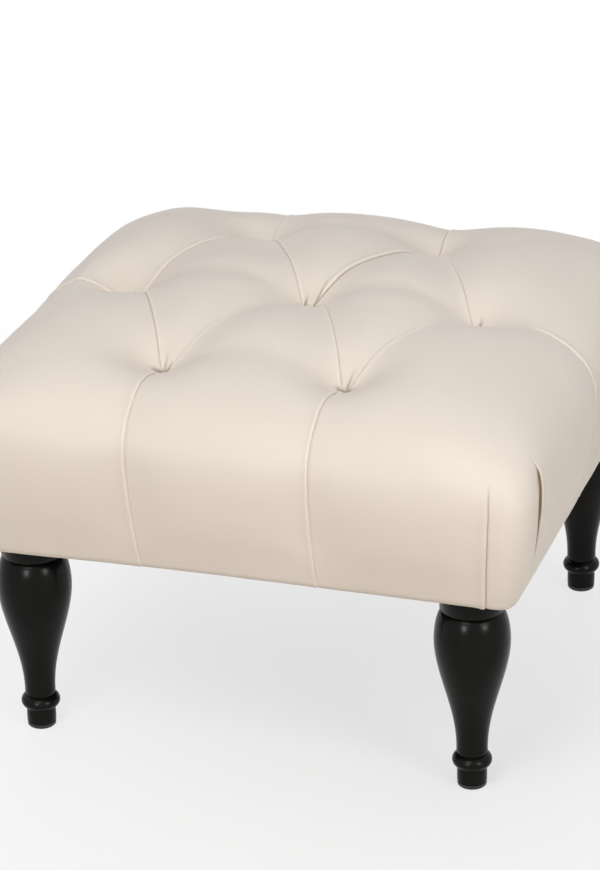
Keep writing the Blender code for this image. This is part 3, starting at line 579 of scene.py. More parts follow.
class FlatPattern:
    """Collects the patches of the top panel and merges their shared edges."""

    def __init__(self, pleats):
        self.pleats, self.points, self.faces, self.index = pleats, [], [], {}

    def vertex(self, point):
        key = (round(point[0] * 1e6), round(point[1] * 1e6))
        if key not in self.index:
            self.index[key] = len(self.points)
            self.points.append(point)
        return self.index[key]

    def spoke(self, foot, crown):
        """From a pleat or the rim to a panel's crown, fine at its foot."""
        marks = graded(float(np.hypot(*(crown - foot))), PATCH_STEPS, PLEAT_FINE)
        return foot + np.outer(marks, crown - foot)

    def pleat_line(self, tuft, to):
        """From a tuft along the pleat to another tuft, or over the border."""
        if (tuft, to) in self.pleats:
            return self.pleats[tuft, to].line(False)
        return self.pleats[to, tuft].line(True)

    def quad_patch(self, bottom, left, crown):
        """A patch between two lines from one tuft and the spokes from their ends to a crown."""
        right, top = self.spoke(bottom[-1], crown), self.spoke(left[-1], crown)
        low, far, high, near = [chord_shares(edge) for edge in (bottom, right, top, left)]
        middle_v, middle_u = (near + far) / 2, (low + high) / 2
        u = (np.outer(low, 1 - middle_v) + np.outer(high, middle_v))[..., None]
        v = (np.outer(1 - middle_u, near) + np.outer(middle_u, far))[..., None]
        grid = (1 - v) * bottom[:, None] + v * top[:, None] + (1 - u) * left[None] + u * right[None]
        self.add_grid(grid - ((1 - u) * (1 - v) * bottom[0] + u * (1 - v) * bottom[-1] + u * v * top[-1]
                              + (1 - u) * v * top[0]))

    def rim_patch(self, start, end, crown, fine_start, fine_end, steps):
        """A patch between a stretch of the rim and a crown, fine where the stretch ends at a fold or a pleat."""
        distance = float(np.hypot(*(end - start)))
        if fine_start and fine_end:
            half = graded(distance / 2, steps // 2, PLEAT_FINE) / 2
            marks = np.concatenate([half, 1 - half[-2::-1]])
        else:
            marks = graded(distance, steps, PLEAT_FINE)
            marks = marks if fine_start else 1 - marks[::-1]
        left, right = self.spoke(start, crown), self.spoke(end, crown)
        self.add_grid(left + marks[:, None, None] * (right - left))

    def add_grid(self, grid):
        numbers = [[self.vertex(point) for point in row] for row in grid]
        for near, far in zip(numbers, numbers[1:]):
            for j in range(len(near) - 1):
                ring = [near[j], far[j], far[j + 1], near[j + 1]]
                ring = [n for k, n in enumerate(ring) if n != ring[k - 1]]
                if len(ring) > 2:
                    x, y = np.transpose([self.points[n] for n in ring])
                    turn = x @ np.roll(y, -1) - y @ np.roll(x, -1)
                    self.faces.append(ring if turn > 0 else ring[::-1])


def lay_out_pattern(seat, pleats):
    """All patches of the top panel."""
    pattern, rim = FlatPattern(pleats), rim_half(seat)
    for column in (-1, 1):
        for row in (-1, 1):
            tuft, middle, outer = (column / 2, row), (0, 0), (column, 0)
            end_crown, corner_crown = tuft_place(seat, 0, 0.8 * row), tuft_place(seat, column * 0.95, 0.72 * row)
            to_inner, to_outer = pattern.pleat_line(tuft, middle), pattern.pleat_line(tuft, outer)
            pattern.quad_patch(to_inner, to_outer, tuft_place(seat, column / 2, 0))
            if column == 1:
                ways = [pattern.pleat_line(middle, other) for other in (tuft, (-0.5, row))]
                pattern.quad_patch(*ways, end_crown)
            over_border, side_pleat = pattern.pleat_line(tuft, (0, row)), pattern.pleat_line(outer, outer)
            pattern.quad_patch(to_inner, over_border, end_crown)
            pattern.quad_patch(to_outer, over_border, corner_crown)
            pattern.quad_patch(pattern.pleat_line(outer, tuft), side_pleat, corner_crown)
            corner = np.array([column * rim, row * rim])
            fold, side_fold = corner - (column * FRONT_FOLD, 0), corner - (0, row * SIDE_FOLD)
            middle_foot, foot = np.array([seat.shift_x, row * rim]), over_border[-1]
            pattern.rim_patch(middle_foot, foot, end_crown, False, True, 22)
            pattern.rim_patch(foot, fold, corner_crown, True, True, 36)
            pattern.rim_patch(fold, corner, corner_crown, True, False, 8)
            pattern.rim_patch(corner, side_fold, corner_crown, False, True, 10)
            pattern.rim_patch(side_fold, side_pleat[-1], corner_crown, True, True, 44)
        for tuft in ((0, 0), (column, 0)):
            front, back = [pattern.pleat_line(tuft, (column / 2, row)) for row in (-1, 1)]
            pattern.quad_patch(front, back, tuft_place(seat, column / 2, 0))
    return np.array(pattern.points), pattern.faces


def edge_ring(plan, half):
    """The numbers of the points on a square's edge, counter-clockwise seen from above."""
    edge = np.flatnonzero(np.max(np.abs(plan), axis=1) > half - 1e-7)
    return edge[np.argsort(np.arctan2(plan[edge, 1], plan[edge, 0]))]


def ring_faces(above, below):
    return [[above[k - 1], below[k - 1], below[k], above[k]] for k in range(len(above))]


# Folds, gathers and tufts, as fields over the cover

def side_levels(seat):
    """Levels of the rows down the sides, evenly spaced along the faces."""
    levels = np.linspace(seat.rim_level, seat.bottom_level, 400)
    travel = np.concatenate([[0], np.cumsum(np.hypot(np.diff(levels), np.diff(half_width(seat, levels))))])
    return np.interp(np.linspace(0, travel[-1], SIDE_ROWS + 1)[1:], travel, levels)


def fold_section(distance, section=FOLD_SECTION):
    places, heights, shifts = np.array(section) / 1000
    return np.interp(distance, places, heights), np.interp(distance, places, shifts)


def tuft_fields(seat, plan):
    """How far each tuft's slit and gathers sink, the pits from 0 to 1, the distance to the nearest, the painted shade
    in slits and gathers.
    """
    sink, pit, painted_shading = np.zeros((3, len(plan)))
    nearest = np.full(len(plan), 9.0)
    for tuft, (_, _, left, right, extra, dark, gathers) in TUFTS.items():
        x, y = (plan - tuft_place(seat, *tuft)).T
        reach = np.where(x < 0, left, right)
        distance = np.hypot(np.maximum(np.abs(x) - np.maximum(reach - 0.008, 0), 0), y)
        nearest = np.minimum(nearest, np.hypot(np.maximum(np.abs(x) - reach, 0), y))
        hollow = bell(distance, seat.tuft_reach, 1.6)
        pit = np.maximum(pit, hollow)
        slit = bell(x, reach, 4) * bell(y, 0.0024)
        sink += extra * hollow + seat.slit_depth * slit
        # Painted shade in the slit
        painted_shading = np.maximum(painted_shading, dark * slit)
        for start, degrees, long, depth in gathers:
            lean = math.radians(degrees)
            along = (x - start) * math.sin(lean) + y * math.cos(lean)
            across = (x - start) * math.cos(lean) - y * math.sin(lean)
            deep = depth * smoothstep((along + 0.001) / 0.002) * smoothstep((long - along) / long)
            width = 0.0009 + 0.03 * np.maximum(along, 0)
            sink += deep * (bell(across, width) - 0.35 * bell(across - 2.2 * width, width))
            # Painted shade along the gather
            painted_shading = np.maximum(painted_shading, 330 * deep * bell(across, 0.0009))
    return sink, pit, nearest, painted_shading


def cover_arrays(seat):
    """The cover's outer skin: its points, its faces, the painted shade in its creases and painted highlight on pleats'
    lips, and how firmly it is held.
    """
    pleats = all_pleats(seat)
    plan, faces = lay_out_pattern(seat, pleats)
    rim, count = rim_half(seat), len(plan)
    ring = edge_ring(plan, rim)
    edge = np.max(np.abs(plan), axis=1)
    scale = (rim / np.maximum(edge, 1e-9))[:, None]
    rounded = np.stack(outline_point(seat, *(plan * scale).T, np.full(count, seat.rim_level)), axis=1) / scale
    share = smoothstep((edge - (rim - 0.048)) / 0.048)[:, None]
    flat = plan * (1 - share) + rounded * share
    top = np.column_stack([flat, top_height(seat, *flat.T)])
    top[ring, 2] = seat.rim_level
    points, places, levels = [top], [plan], [np.full(count, seat.rim_level)]
    above = ring
    for level in side_levels(seat):
        row = np.full(len(ring), level)
        moved = follow_folds(seat, plan[ring], level)
        points.append(np.column_stack([*outline_point(seat, *moved.T, row), row]))
        places.append(moved)
        levels.append(row)
        below = np.arange(count, count + len(ring))
        faces += ring_faces(above, below)
        above = below
        count += len(ring)
    points, places, levels = [np.concatenate(parts) for parts in (points, places, levels)]
    on_side = np.arange(count) >= len(plan)
    shaped, painted_shading = shape_cover(seat, pleats, points, faces, places, levels, on_side)
    held = held_share(seat, pleats, shaped, places, levels, on_side)
    shaped, faces = turn_under(seat, shaped, faces, above)
    rest = np.zeros(len(shaped) - count)
    return shaped, faces, np.concatenate([painted_shading, rest]), np.concatenate([held, rest + 1])


def surface_normals(points, faces):
    quads = np.array([face if len(face) == 4 else face + face[-1:] for face in faces])
    normal = np.cross(points[quads[:, 2]] - points[quads[:, 0]], points[quads[:, 3]] - points[quads[:, 1]])
    total = np.zeros_like(points)
    for corner in range(4):
        np.add.at(total, quads[:, corner], normal)
    return total / np.maximum(np.linalg.norm(total, axis=1), 1e-12)[:, None]


def fold_station(seat, level, line):
    """Where a fold's line crosses each level, as a station on the flat pattern's edge."""
    rim = rim_half(seat)
    straight = rim - CORNER_RUN
    corner = half_width(seat, level) * 0.5 ** (1 / squareness(seat, level))
    return straight + (np.interp(level, FOLD_LEVELS, line) - straight) / (corner - straight) * (rim - straight)


def follow_folds(seat, stations, level):
    """Shifts the rim's stations at one level, so that the mesh keeps its fine columns on the corner folds."""
    rim = rim_half(seat)
    share = float(smoothstep((seat.rim_level - level) / (seat.rim_level - 0.3180)))
    moved = stations.copy()
    for axis, inset, line in ((0, FRONT_FOLD, FRONT_FOLD_LINE), (1, SIDE_FOLD, SIDE_FOLD_LINE)):
        here = np.abs(stations[:, 1 - axis]) > rim - 1e-7
        fold = rim - inset + share * (float(fold_station(seat, np.array(level), line)) - rim + inset)
        place = np.interp(np.abs(stations[here, axis]), (0, rim - CORNER_RUN, rim - inset, rim),
                          (0, rim - CORNER_RUN, fold, rim))
        moved[here, axis] = np.copysign(place, stations[here, axis])
    return moved


def corner_folds(seat, plan, level, on_side):
    """Each corner's two folds: the axis that it faces, the points of its side, the distances over it, its mouth."""
    rim = rim_half(seat)
    for x, y in CORNERS.values():
        for axis, side, turn, line in ((1, y, x, FRONT_FOLD_LINE), (0, x, y, SIDE_FOLD_LINE)):
            here = on_side & (np.abs(plan[:, axis] - side * rim) < 1e-6)
            yield axis, -turn, here, (turn * fold_station(seat, level, line) - plan[:, 1 - axis]) * turn, axis == 0


def shape_cover(seat, pleats, points, faces, plan, level, on_side):
    """Draws tufts, valleys, folds and gathers into the smooth padded form, with painted shade for their creases and a
    painted highlight for the pleats' lips.
    """
    normal = surface_normals(points, faces)
    down = np.clip((level - seat.bottom_level) / (seat.rim_level - seat.bottom_level), 0, 1)
    sink, pit, nearest, painted_shading = tuft_fields(seat, plan)
    sink = (sink + seat.tuft_depth * pit) * np.where(on_side, down ** 3, 1.0)
    valley, inward, lip_highlight = np.zeros((3, len(points)))
    shift = np.zeros_like(points)
    calm = smoothstep((nearest - 0.001) / 0.008)
    for pleat in pleats.values():
        along, across, away = pleat.measure(plan)
        deep = 1 - (1 - pleat.valley_left) * smoothstep(along / pleat.length)
        valley += (deep * bell(away, seat.valley_reach, 1.5)) ** 6
        fade = pleat.inside(along) * np.where(on_side, 0.4 + 0.6 * down, 1.0)
        if pleat.begins:
            fade = fade * smoothstep((along - pleat.begins) / 0.020)
        height, slide = fold_section(across * pleat.over)
        strength = pleat.fullness * fade * calm
        inward -= height * strength
        # Painted shade along the pleat's crease, and a painted highlight along its lip
        painted_shading = np.maximum(painted_shading, pleat.dark * fade * bell(across, CREASE_SHADE_HALF))
        lip_highlight = np.maximum(lip_highlight, strength * bell(across * pleat.over - 0.0018, 0.0009))
        lean = pleat.lean * on_side * (1 - down) ** 1.5 * bell(across, 0.045) * (along > 0)
        shift[:, :2] += (lean - slide * strength * pleat.over)[:, None] * pleat.across
    for first, second, deep in ROW_VALLEYS:
        start, end = tuft_place(seat, *first), tuft_place(seat, *second)
        long = np.hypot(*(end - start))
        way = (end - start) / long
        along = np.clip((plan - start) @ way, 0, long)
        valley += (deep * bell(np.hypot(*(plan - start - np.outer(along, way)).T), seat.row_reach, 1.5)) ** 6
    inward += seat.valley_depth * valley ** (1 / 6) * (1 - pit) * np.where(on_side, smoothstep(down / 0.4), 1.0)
    upper = np.where(on_side, smoothstep((level - seat.belly_level) / 0.05), 1.0)
    for u, v, reach, height in FULLNESS:
        inward -= height * bell(np.hypot(plan[:, 0] - u, plan[:, 1] - v), reach) * upper
    for axis, over, here, across, gapes in corner_folds(seat, plan, level, on_side):
        fade = here * within(level, *(SIDE_FOLD_SPAN if gapes else FRONT_FOLD_SPAN))
        height, slide = fold_section(across)
        if gapes:
            opening = within(level, *MOUTH_SPAN)
            open_height, open_slide = fold_section(across, OPEN_SECTION)
            height += (open_height - height) * opening
            slide += (open_slide - slide) * opening
            # Painted shade in the open mouth under the flap
            mouth = fade * smoothstep((level - MOUTH_SHADE[0]) / MOUTH_SHADE[1])
            painted_shading = np.maximum(painted_shading, mouth * bell(across - 0.0001, 0.0007))
        inward -= height * fade * FOLD_FULLNESS
        # Painted shade along the fold's crease
        painted_shading = np.maximum(painted_shading, FOLD_CREASE_SHADE * fade * bell(across, CREASE_SHADE_HALF))
        shift[:, 1 - axis] -= slide * fade * over
    rough = np.array([noise.noise(Vector(point * 26)) * 0.5 + noise.noise(Vector(point * 60)) * 0.2
                      for point in points])
    inward += rough * UNEVEN
    shift -= normal * np.sum(shift * normal, axis=1)[:, None]
    moved = points + shift - normal * inward[:, None]
    slack = smoothstep((-points[:, 0] - 0.03) / 0.20) * smoothstep((-points[:, 1] - 0.15) / 0.08)
    moved[:, 2] -= sink + seat.slack * slack * smoothstep((0.245 - level) / 0.05) * on_side
    # Painted shade in creases, less a painted highlight on pleats' lips away from any crease
    return moved, np.clip(painted_shading, 0, 1) - 0.8 * np.clip(lip_highlight, 0, 1) * (painted_shading < 0.02)


def turn_under(seat, points, faces, above):
    """Rounds the bottom edge and lays the cover under the frame."""
    bottom = points[above]
    inwards = -bottom[:, :2] / np.maximum(np.abs(bottom[:, :2]).max(axis=1), 1e-9)[:, None]
    for step, drop in ((0.0010, 0.0003), (0.0024, 0.0004), (0.0080, 0.0003), (0.0180, 0.00015), (seat.turn_under, 0)):
        place = bottom.copy()
        place[:, :2] += inwards * step
        place[:, 2] += (seat.bottom_level - place[:, 2]) * smoothstep(step / 0.024) - drop
        below = np.arange(len(points), len(points) + len(above))
        points = np.concatenate([points, place])
        faces = faces + ring_faces(above, below)
        above = below
    return points, faces


def held_share(seat, pleats, points, plan, level, on_side):
    """How firmly each point is held, from 0 to 1: by its tuft, a pleat, a corner fold or the frame's edge."""
    held = smoothstep(tuft_fields(seat, plan)[1] / 0.55)
    for pleat in pleats.values():
        held = np.maximum(held, bell(pleat.measure(plan)[2], HOLD_REACH))
    for _, _, here, across, _ in corner_folds(seat, plan, level, on_side):
        held = np.maximum(held, here * bell(across, HOLD_REACH))
    return np.maximum(held, smoothstep((seat.bottom_level + 0.045 - points[:, 2]) / 0.040))


# Objects

def mesh_piece(name, points, faces):
    mesh = bpy.data.meshes.new(name)
    mesh.from_pydata([tuple(point) for point in points], [], [tuple(int(n) for n in face) for face in faces])
    mesh.validate()
    piece = bpy.data.objects.new(name, mesh)
    bpy.context.scene.collection.objects.link(piece)
    return piece


def make_active(piece):
    bpy.ops.object.select_all(action="DESELECT")
    piece.select_set(True)
    bpy.context.view_layer.objects.active = piece


def smooth_by_angle(piece, degrees):
    make_active(piece)
    bpy.ops.object.shade_smooth_by_angle(angle=math.radians(degrees))


def face_outwards():
    """Turns the faces of the piece in edit mode outwards and leaves edit mode."""
    bpy.ops.mesh.select_all(action="SELECT")
    bpy.ops.mesh.normals_make_consistent(inside=False)
    bpy.ops.object.mode_set(mode="OBJECT")


def thicken(piece, thickness, offset):
    make_active(piece)
    shell = piece.modifiers.new("thickness", "SOLIDIFY")
    shell.thickness, shell.offset = thickness, offset
    bpy.ops.object.modifier_apply(modifier=shell.name)


def tree_of(points):
    tree = KDTree(len(points))
    for index, point in enumerate(points):
        tree.insert(point, index)
    tree.balance()
    return tree


# The cover

SIM_FRAMES = 20
NEIGHBOURS = 12     # of the simulated copy that each point of the cover follows


def coarse_padding(seat, points, faces):
    """A closed copy of the cover, from even cells."""
    pad = mesh_piece("padding", points, faces)
    make_active(pad)
    bpy.ops.object.mode_set(mode="EDIT")
    bpy.ops.mesh.select_all(action="DESELECT")
    bpy.ops.mesh.select_non_manifold()
    bpy.ops.mesh.edge_face_add()
    bpy.ops.object.mode_set(mode="OBJECT")
    remesh = pad.modifiers.new("remesh", "REMESH")
    remesh.mode, remesh.voxel_size = "VOXEL", seat.voxel
    bpy.ops.object.modifier_apply(modifier=remesh.name)
    return pad


def swell_padding(seat, points, faces, held):
    """Blows a coarse copy of the cover up as cloth over its padding, held where it is tied, and follows it."""
    pad = coarse_padding(seat, points, faces)
    tree = tree_of(points)
    group = pad.vertex_groups.new(name="held")
    before = np.array([tuple(vertex.co) for vertex in pad.data.vertices])
    for index, point in enumerate(before):
        under = point[2] < seat.bottom_level + 0.004
        group.add([index], 1.0 if under else float(held[tree.find(point)[1]]), "REPLACE")
    cloth = pad.modifiers.new("cloth", "CLOTH")
    values = {"quality": 6, "mass": 0.4, "air_damping": 4, "tension_stiffness": 8, "compression_stiffness": 8,
              "bending_stiffness": 0.5, "use_pressure": True, "uniform_pressure_force": seat.pressure,
              "vertex_group_mass": group.name, "pin_stiffness": 1}
    for name, value in values.items():
        setattr(cloth.settings, name, value)
    cloth.settings.effector_weights.gravity = 0
    cloth.collision_settings.use_collision = False
    cloth.point_cache.frame_start, cloth.point_cache.frame_end = 1, SIM_FRAMES
    for step in range(SIM_FRAMES):
        bpy.context.scene.frame_set(step + 1)
    bpy.ops.object.modifier_apply(modifier=cloth.name)
    travel = np.array([tuple(vertex.co) for vertex in pad.data.vertices]) - before
    bpy.data.objects.remove(pad)
    bpy.context.scene.frame_set(1)
    far = np.linalg.norm(travel, axis=1)[:, None]
    travel *= seat.swell / np.maximum(far + seat.swell, 1e-9)
    tree = tree_of(before)
    moved = np.zeros_like(points)
    for index, point in enumerate(points):
        found = tree.find_n(point, NEIGHBOURS)
        weight = np.array([1 / (distance + 0.003) ** 2 for _, _, distance in found])
        moved[index] = weight @ travel[[near for _, near, _ in found]] / weight.sum()
    return points + moved * (1 - held)[:, None]


class FOOTSTOOL_OT_cover(bpy.types.Operator):
    """Makes the deep-tufted cover with its pleats, gathers and corner folds"""
    bl_idname = "footstool.cover"
    bl_label = "Tufted cover"

    def execute(self, context):
        seat = context.scene.footstool_seat
        points, faces, painted_shading, held = cover_arrays(seat)
        points = swell_padding(seat, points, faces, held)
        cover = mesh_piece("tufted_cover", points, faces)
        # Stores the painted shade of creases and the painted highlight of pleats' lips for the cover's material
        cover.data.attributes.new("painted_shading", "FLOAT", "POINT").data.foreach_set("value", painted_shading)
        thicken(cover, seat.cloth, -1.0)
        cover.data.shade_smooth()
        give(cover, cover_leather(seat.leather))
        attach(cover, "root")
        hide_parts("seat_cover", "foam_block", "side_foam")
        return {"FINISHED"}


# Legs

def leg_profile(legs):
    """The leg's section from the bottom of its bolt hole, over its side, to the top of its pin hole."""
    top, collar, bulb, foot = legs.height, legs.collar_radius, legs.bulb_radius, legs.foot_radius
    under = top - legs.collar_height
    notch, neck_top = under - 0.0010, legs.ring_level + 0.0108
    section = [(0.0043, top - 0.0343), (0.0043, top), (collar - 0.0008, top), (collar, top - 0.0008),
               (collar, under + 0.0008), (collar - 0.0005, under + 0.0001),
               (legs.notch_radius + 0.0003, under - 0.0004), (legs.notch_radius, notch)]
    first = math.radians(12)
    for step in range(1, 14):
        turn = first + (math.pi / 2 - first) * step / 14
        out = (math.sin(turn) - math.sin(first)) / (1 - math.sin(first))
        section.append((legs.notch_radius + (bulb - legs.notch_radius) * out,
                        legs.bulb_level + (notch - legs.bulb_level) * math.cos(turn) / math.cos(first)))
    for step in range(24):
        share = step / 24
        ease = (1 - math.cos(math.pi * share ** 0.90)) / 2
        section.append((bulb + (legs.neck_radius - bulb) * ease,
                        legs.bulb_level + (neck_top - legs.bulb_level) * share))
    section += [(legs.neck_radius, neck_top), (legs.neck_radius + 0.0001, neck_top - 0.0012)]
    for step in range(13):
        turn = math.radians(76 - 150 * step / 12)
        section.append((legs.ring_radius - legs.ring_half * (1 - math.cos(turn)),
                        legs.ring_level + legs.ring_half * math.sin(turn)))
    return section + [(foot - 0.0002, legs.ring_level - 0.0075), (foot, legs.ring_level - 0.0085),
                      (foot + 0.0001, 0.0060), (foot, 0.0005), (foot - 0.0005, 0.0), (0.0028, 0.0),
                      (0.0028, 0.0103)]


def turn_piece(name, section, steps):
    """Turns a section by drawing a disc out ring by ring, with a cap at each end."""
    bpy.ops.object.select_all(action="DESELECT")
    radius, height = section[0]
    bpy.ops.mesh.primitive_circle_add(vertices=steps, radius=radius, fill_type="NGON", location=(0, 0, height))
    piece = bpy.context.object
    piece.name = name
    bpy.ops.object.transform_apply(location=True, rotation=True, scale=True)
    bpy.ops.object.mode_set(mode="EDIT")
    bpy.ops.mesh.select_all(action="SELECT")
    for (radius, height), (next_radius, next_height) in zip(section, section[1:]):
        bpy.ops.mesh.extrude_region_move(TRANSFORM_OT_translate={"value": (0, 0, next_height - height)})
        grow = next_radius / radius
        bpy.ops.transform.resize(value=(grow, grow, 1), center_override=(0, 0, next_height))
    face_outwards()
    return piece


class FOOTSTOOL_OT_legs(bpy.types.Operator):
    """Turns the four painted legs"""
    bl_idname = "footstool.legs"
    bl_label = "Turned legs"

    def execute(self, context):
        legs = context.scene.footstool_legs
        paint = painted_wood(legs.paint)
        pattern = turn_piece("turned_leg", leg_profile(legs), 72)
        smooth_by_angle(pattern, 40)
        for corner, (x, y) in CORNERS.items():
            leg = bpy.data.objects.new("turned_leg_" + corner, pattern.data.copy())
            context.scene.collection.objects.link(leg)
            leg.data.transform(Matrix.Translation((x * legs.inset, y * legs.inset, legs.bottom)))
            give(leg, paint)
            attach(leg, "root")
            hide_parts("leg_" + corner)
        bpy.data.objects.remove(pattern)
        return {"FINISHED"}


# Frame, fastenings and underside

class FOOTSTOOL_OT_frame(bpy.types.Operator):
    """Finishes the wooden frame, the deck, the fastenings, the foam and the glides"""
    bl_idname = "footstool.frame"
    bl_label = "Frame and fastenings"

    def execute(self, context):
        pine = (0.70, 0.52, 0.32), (0.52, 0.35, 0.19)
        across, along = bare_wood("pine_across", *pine, (1, 12, 12)), bare_wood("pine_along", *pine, (12, 1, 12))
        plywood = bare_wood("plywood", (0.66, 0.50, 0.33), (0.54, 0.38, 0.23), (1, 6, 60))
        finishes = {
            ("rail_front", "rail_back", "corner_block"): across,
            ("rail_left", "rail_right"): along,
            ("deck_panel",): plywood,
            ("glide",): glide_plastic(),
            ("tuft_twine",): twisted_twine(),
            ("foam", "side_foam"): open_foam(),
            ("block_screw", "deck_screw", "hanger_bolt", "tee_nut", "tuft_washer"): zinc_steel(),
        }
        for name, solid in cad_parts.items():
            for starts, finish in finishes.items():
                if name.startswith(starts):
                    give(solid, finish)
        return {"FINISHED"}


BOLT_GAP = 0.0055       # half of the opening in the dust cloth round each bolt
HEM = 0.012             # of the dust cloth, turned in


class FOOTSTOOL_OT_underside(bpy.types.Operator):
    """Stretches the black cloth over the underside, with its edge turned in"""
    bl_idname = "footstool.underside"
    bl_label = "Dust cloth"

    def execute(self, context):
        bolt = context.scene.footstool_legs.inset
        low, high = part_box("dust_cloth")
        half, upper, lower = high[0], high[2] - 0.0002, low[2] + 0.0002
        lines = np.linspace(-half, half, 49)
        lines = lines[np.abs(np.abs(lines) - bolt) > 0.0050]
        lines = np.sort([*lines, *(side * bolt + gap for side in (-1, 1) for gap in (-BOLT_GAP, BOLT_GAP))])
        count = len(lines)
        plan = np.array([(x, y) for x in lines for y in lines])
        x, y = plan.T
        slack = np.cos(np.pi / 2 * x / half) * np.cos(np.pi / 2 * y / half)
        wave = 0.35 + 0.10 * np.sin(x * 31 + 1.7 * np.sin(y * 17)) + 0.08 * np.sin(y * 27 + 2.0 * np.sin(x * 13))
        near = smoothstep((np.hypot(np.abs(x) - bolt, np.abs(y) - bolt) - 0.034) / 0.05)
        points = [np.column_stack([plan, upper - 0.008 * slack * wave * near])]
        opens = np.abs(np.abs(lines[:-1] + lines[1:]) / 2 - bolt) < 0.003
        faces = [[i * count + j, (i + 1) * count + j, (i + 1) * count + j + 1, i * count + j + 1]
                 for i in range(count - 1) for j in range(count - 1) if not (opens[i] and opens[j])]
        above = ring = edge_ring(plan, half)
        for out, level in ((0.0002, (upper + lower) / 2), (0.0, lower), (-HEM, lower)):
            below = np.arange(len(ring)) + sum(map(len, points))
            points.append(np.column_stack([plan[ring] * (half + out) / half, np.full(len(ring), level)]))
            faces += ring_faces(above, below)
            above = below
        cloth = mesh_piece("dust_cloth_sheet", np.concatenate(points), faces)
        make_active(cloth)
        bpy.ops.object.mode_set(mode="EDIT")
        face_outwards()
        thicken(cloth, 0.0003, 0.0)
        smooth_by_angle(cloth, 50)
        give(cloth, woven_black())
        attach(cloth, "root")
        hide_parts("dust_cloth")
        return {"FINISHED"}


# Stage

class FOOTSTOOL_OT_stage(bpy.types.Operator):
    """Sets the floor, the lights, the world and the camera"""
    bl_idname = "footstool.stage"
    bl_label = "Studio"

    def execute(self, context):
        stage = context.scene.footstool_stage
        lay_floor(stage)
        light_world(stage)
        add_light("key", (-0.22, -1.93, 2.53), 0.25, (1.2, 1.8), stage.key, (1.0, 0.935, 0.87))
        add_light("fill", (1.95, -1.30, 1.45), 0.25, (0.9, 1.5), stage.fill, (1.0, 0.98, 0.96))
        add_light("glint", (-0.32, -2.85, 1.00), 0.15, (0.5, 0.9), stage.glint, (0.94, 0.97, 1.0), True)
        add_light("side_glint", (2.25, -1.60, 0.90), 0.15, (0.5, 0.7), stage.glint * 0.45, (1, 1, 1), True)
        place_camera(context.scene)
        context.scene.view_settings.view_transform = "Standard"
        return {"FINISHED"}


def seen_rays(tree):
    """One for rays from the camera, or by way of a mirror or a glass; nothing else."""
    path = node(tree, "LightPath").outputs
    first = result_of(tree, "MAXIMUM", path["Is Camera Ray"], path["Is Glossy Ray"])
    return result_of(tree, "MAXIMUM", first, path["Is Transmission Ray"])


def lay_floor(stage):
    """A pale floor that is seen whiter with the distance, throws up its own tint and is clear from below."""
    bpy.ops.object.select_all(action="DESELECT")
    bpy.ops.mesh.primitive_plane_add(size=30, location=(0, 0, 0))
    floor = bpy.context.object
    floor.name = "floor"
    material, tree, shader = new_material("pale_floor", Roughness=0.5, Specular_IOR_Level=0.3)
    tone = spread_of(tree, shared(tree, "clouds", "Mask", scale=3.0), 0.0, 1.0)
    tint = blend(tree, tone, shade(stage.floor, 0.985), stage.floor)
    tree.links.new(blend(tree, seen_rays(tree), stage.bounce, tint), shader.inputs["Base Color"])
    away = node(tree, "VectorMath", {0: place_on(tree), 1: (0.22, -0.25, 0)}, operation="DISTANCE")
    pale = spread_of(tree, away.outputs["Value"], 0.60, 1.0, 0.05, 1.3)
    share = result_of(tree, "MULTIPLY", seen_rays(tree), pale)
    white = node(tree, "Emission", {"Color": (1, 1, 1, 1), "Strength": 1.0}).outputs[0]
    front = node(tree, "MixShader", {0: share, 1: shader.outputs[0], 2: white}).outputs[0]
    both = node(tree, "MixShader", {0: node(tree, "NewGeometry").outputs["Backfacing"], 1: front,
                                    2: node(tree, "BsdfTransparent").outputs[0]})
    tree.links.new(both.outputs[0], tree.nodes["Material Output"].inputs["Surface"])
    give(floor, material)


def light_world(stage):
    world = bpy.context.scene.world = bpy.data.worlds.new("studio")
    world.use_nodes = True
    tree = world.node_tree
    tree.nodes.clear()
    way = node(tree, "TexCoord").outputs["Generated"]
    lean = node(tree, "VectorMath", {0: way, 1: (0.0, -0.32, 0.62)}, operation="DOT_PRODUCT").outputs["Value"]
    strength = result_of(tree, "MULTIPLY", result_of(tree, "ADD", lean, 0.72), stage.sky)
    around = node(tree, "Background", {"Color": (0.93, 0.97, 1, 1), "Strength": strength}).outputs[0]
    white = node(tree, "Background", {"Color": (1, 1, 1, 1), "Strength": 1.0}).outputs[0]
    mix = node(tree, "MixShader", {0: seen_rays(tree), 1: around, 2: white})
    node(tree, "OutputWorld", {"Surface": mix.outputs[0]})


def add_light(name, place, aim, size, energy, tint, gloss_only=False):
    """An area lamp that looks at the stool at a height."""
    light = bpy.data.lights.new(name, "AREA")
    light.shape = "RECTANGLE"
    light.size, light.size_y = size
    light.energy, light.color = energy, tint
    lamp = bpy.data.objects.new(name, light)
    lamp.location = place
    lamp.rotation_euler = (Vector((0, 0, aim)) - Vector(place)).to_track_quat("-Z", "Y").to_euler()
    lamp.visible_diffuse = not gloss_only
    bpy.context.scene.collection.objects.link(lamp)


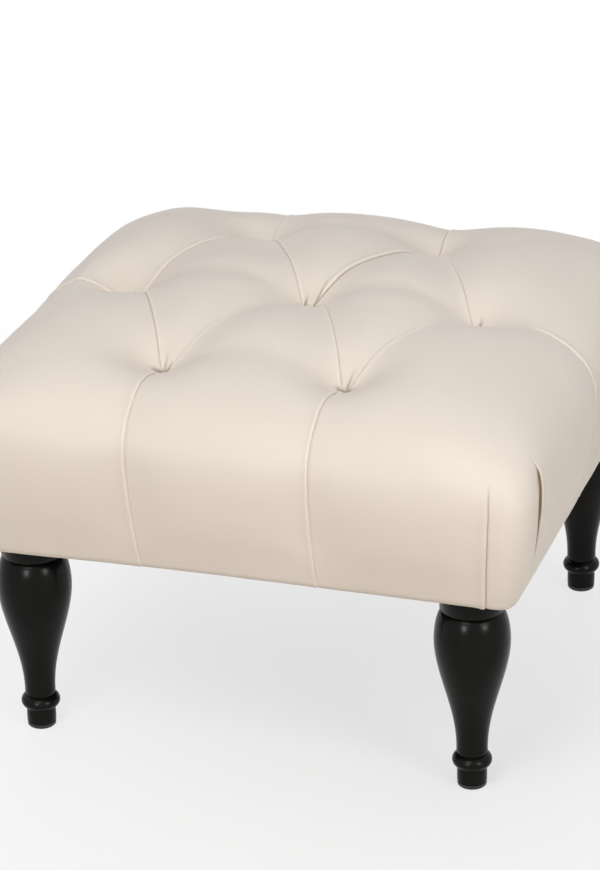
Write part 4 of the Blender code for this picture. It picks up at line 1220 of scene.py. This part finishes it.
def place_camera(scene):
    """From the front, a little from the right and from above."""
    azimuth, tilt, roll = [math.radians(angle) for angle in (18.2518, 90 - 23.7734, -1.1534)]
    turn = Matrix.Rotation(azimuth, 4, "Z") @ Matrix.Rotation(tilt, 4, "X") @ Matrix.Rotation(roll, 4, "Z")
    data = bpy.data.cameras.new("view")
    data.sensor_fit, data.sensor_height, data.lens = "VERTICAL", 36, 144.83
    camera = bpy.data.objects.new("view", data)
    aim, back = Matrix.Translation((-0.01488, -0.00492, 0.22164)), Matrix.Translation((0, 0, 3.174))
    camera.matrix_world = aim @ turn @ back
    scene.collection.objects.link(camera)
    scene.camera = camera


OPERATORS = (FOOTSTOOL_OT_cover, FOOTSTOOL_OT_legs, FOOTSTOOL_OT_frame, FOOTSTOOL_OT_underside, FOOTSTOOL_OT_stage)
GROUP_TYPES = {"footstool_seat": FootstoolSeat, "footstool_legs": FootstoolLegs, "footstool_stage": FootstoolStage}


class FOOTSTOOL_PT_panel(bpy.types.Panel):
    """Lists the steps that build the footstool"""
    bl_idname = "FOOTSTOOL_PT_panel"
    bl_label = "Footstool"
    bl_space_type = "VIEW_3D"
    bl_region_type = "UI"
    bl_category = "Footstool"

    def draw(self, context):
        for operator in OPERATORS:
            self.layout.operator(operator.bl_idname)
        for group in GROUP_TYPES:
            box, sizes = self.layout.box(), getattr(context.scene, group)
            for name in sizes.bl_rna.properties.keys():
                if name not in ("rna_type", "name"):
                    box.prop(sizes, name)


def register():
    for name, group in GROUP_TYPES.items():
        bpy.utils.register_class(group)
        setattr(bpy.types.Scene, name, PointerProperty(type=group))
    for item in (*OPERATORS, FOOTSTOOL_PT_panel):
        bpy.utils.register_class(item)


def unregister():
    for item in (FOOTSTOOL_PT_panel, *reversed(OPERATORS)):
        bpy.utils.unregister_class(item)
    for name, group in GROUP_TYPES.items():
        delattr(bpy.types.Scene, name)
        bpy.utils.unregister_class(group)


def main():
    register()
    bpy.ops.footstool.cover()
    bpy.ops.footstool.legs()
    bpy.ops.footstool.frame()
    bpy.ops.footstool.underside()
    bpy.ops.footstool.stage()


if __name__ == "__main__":
    main()
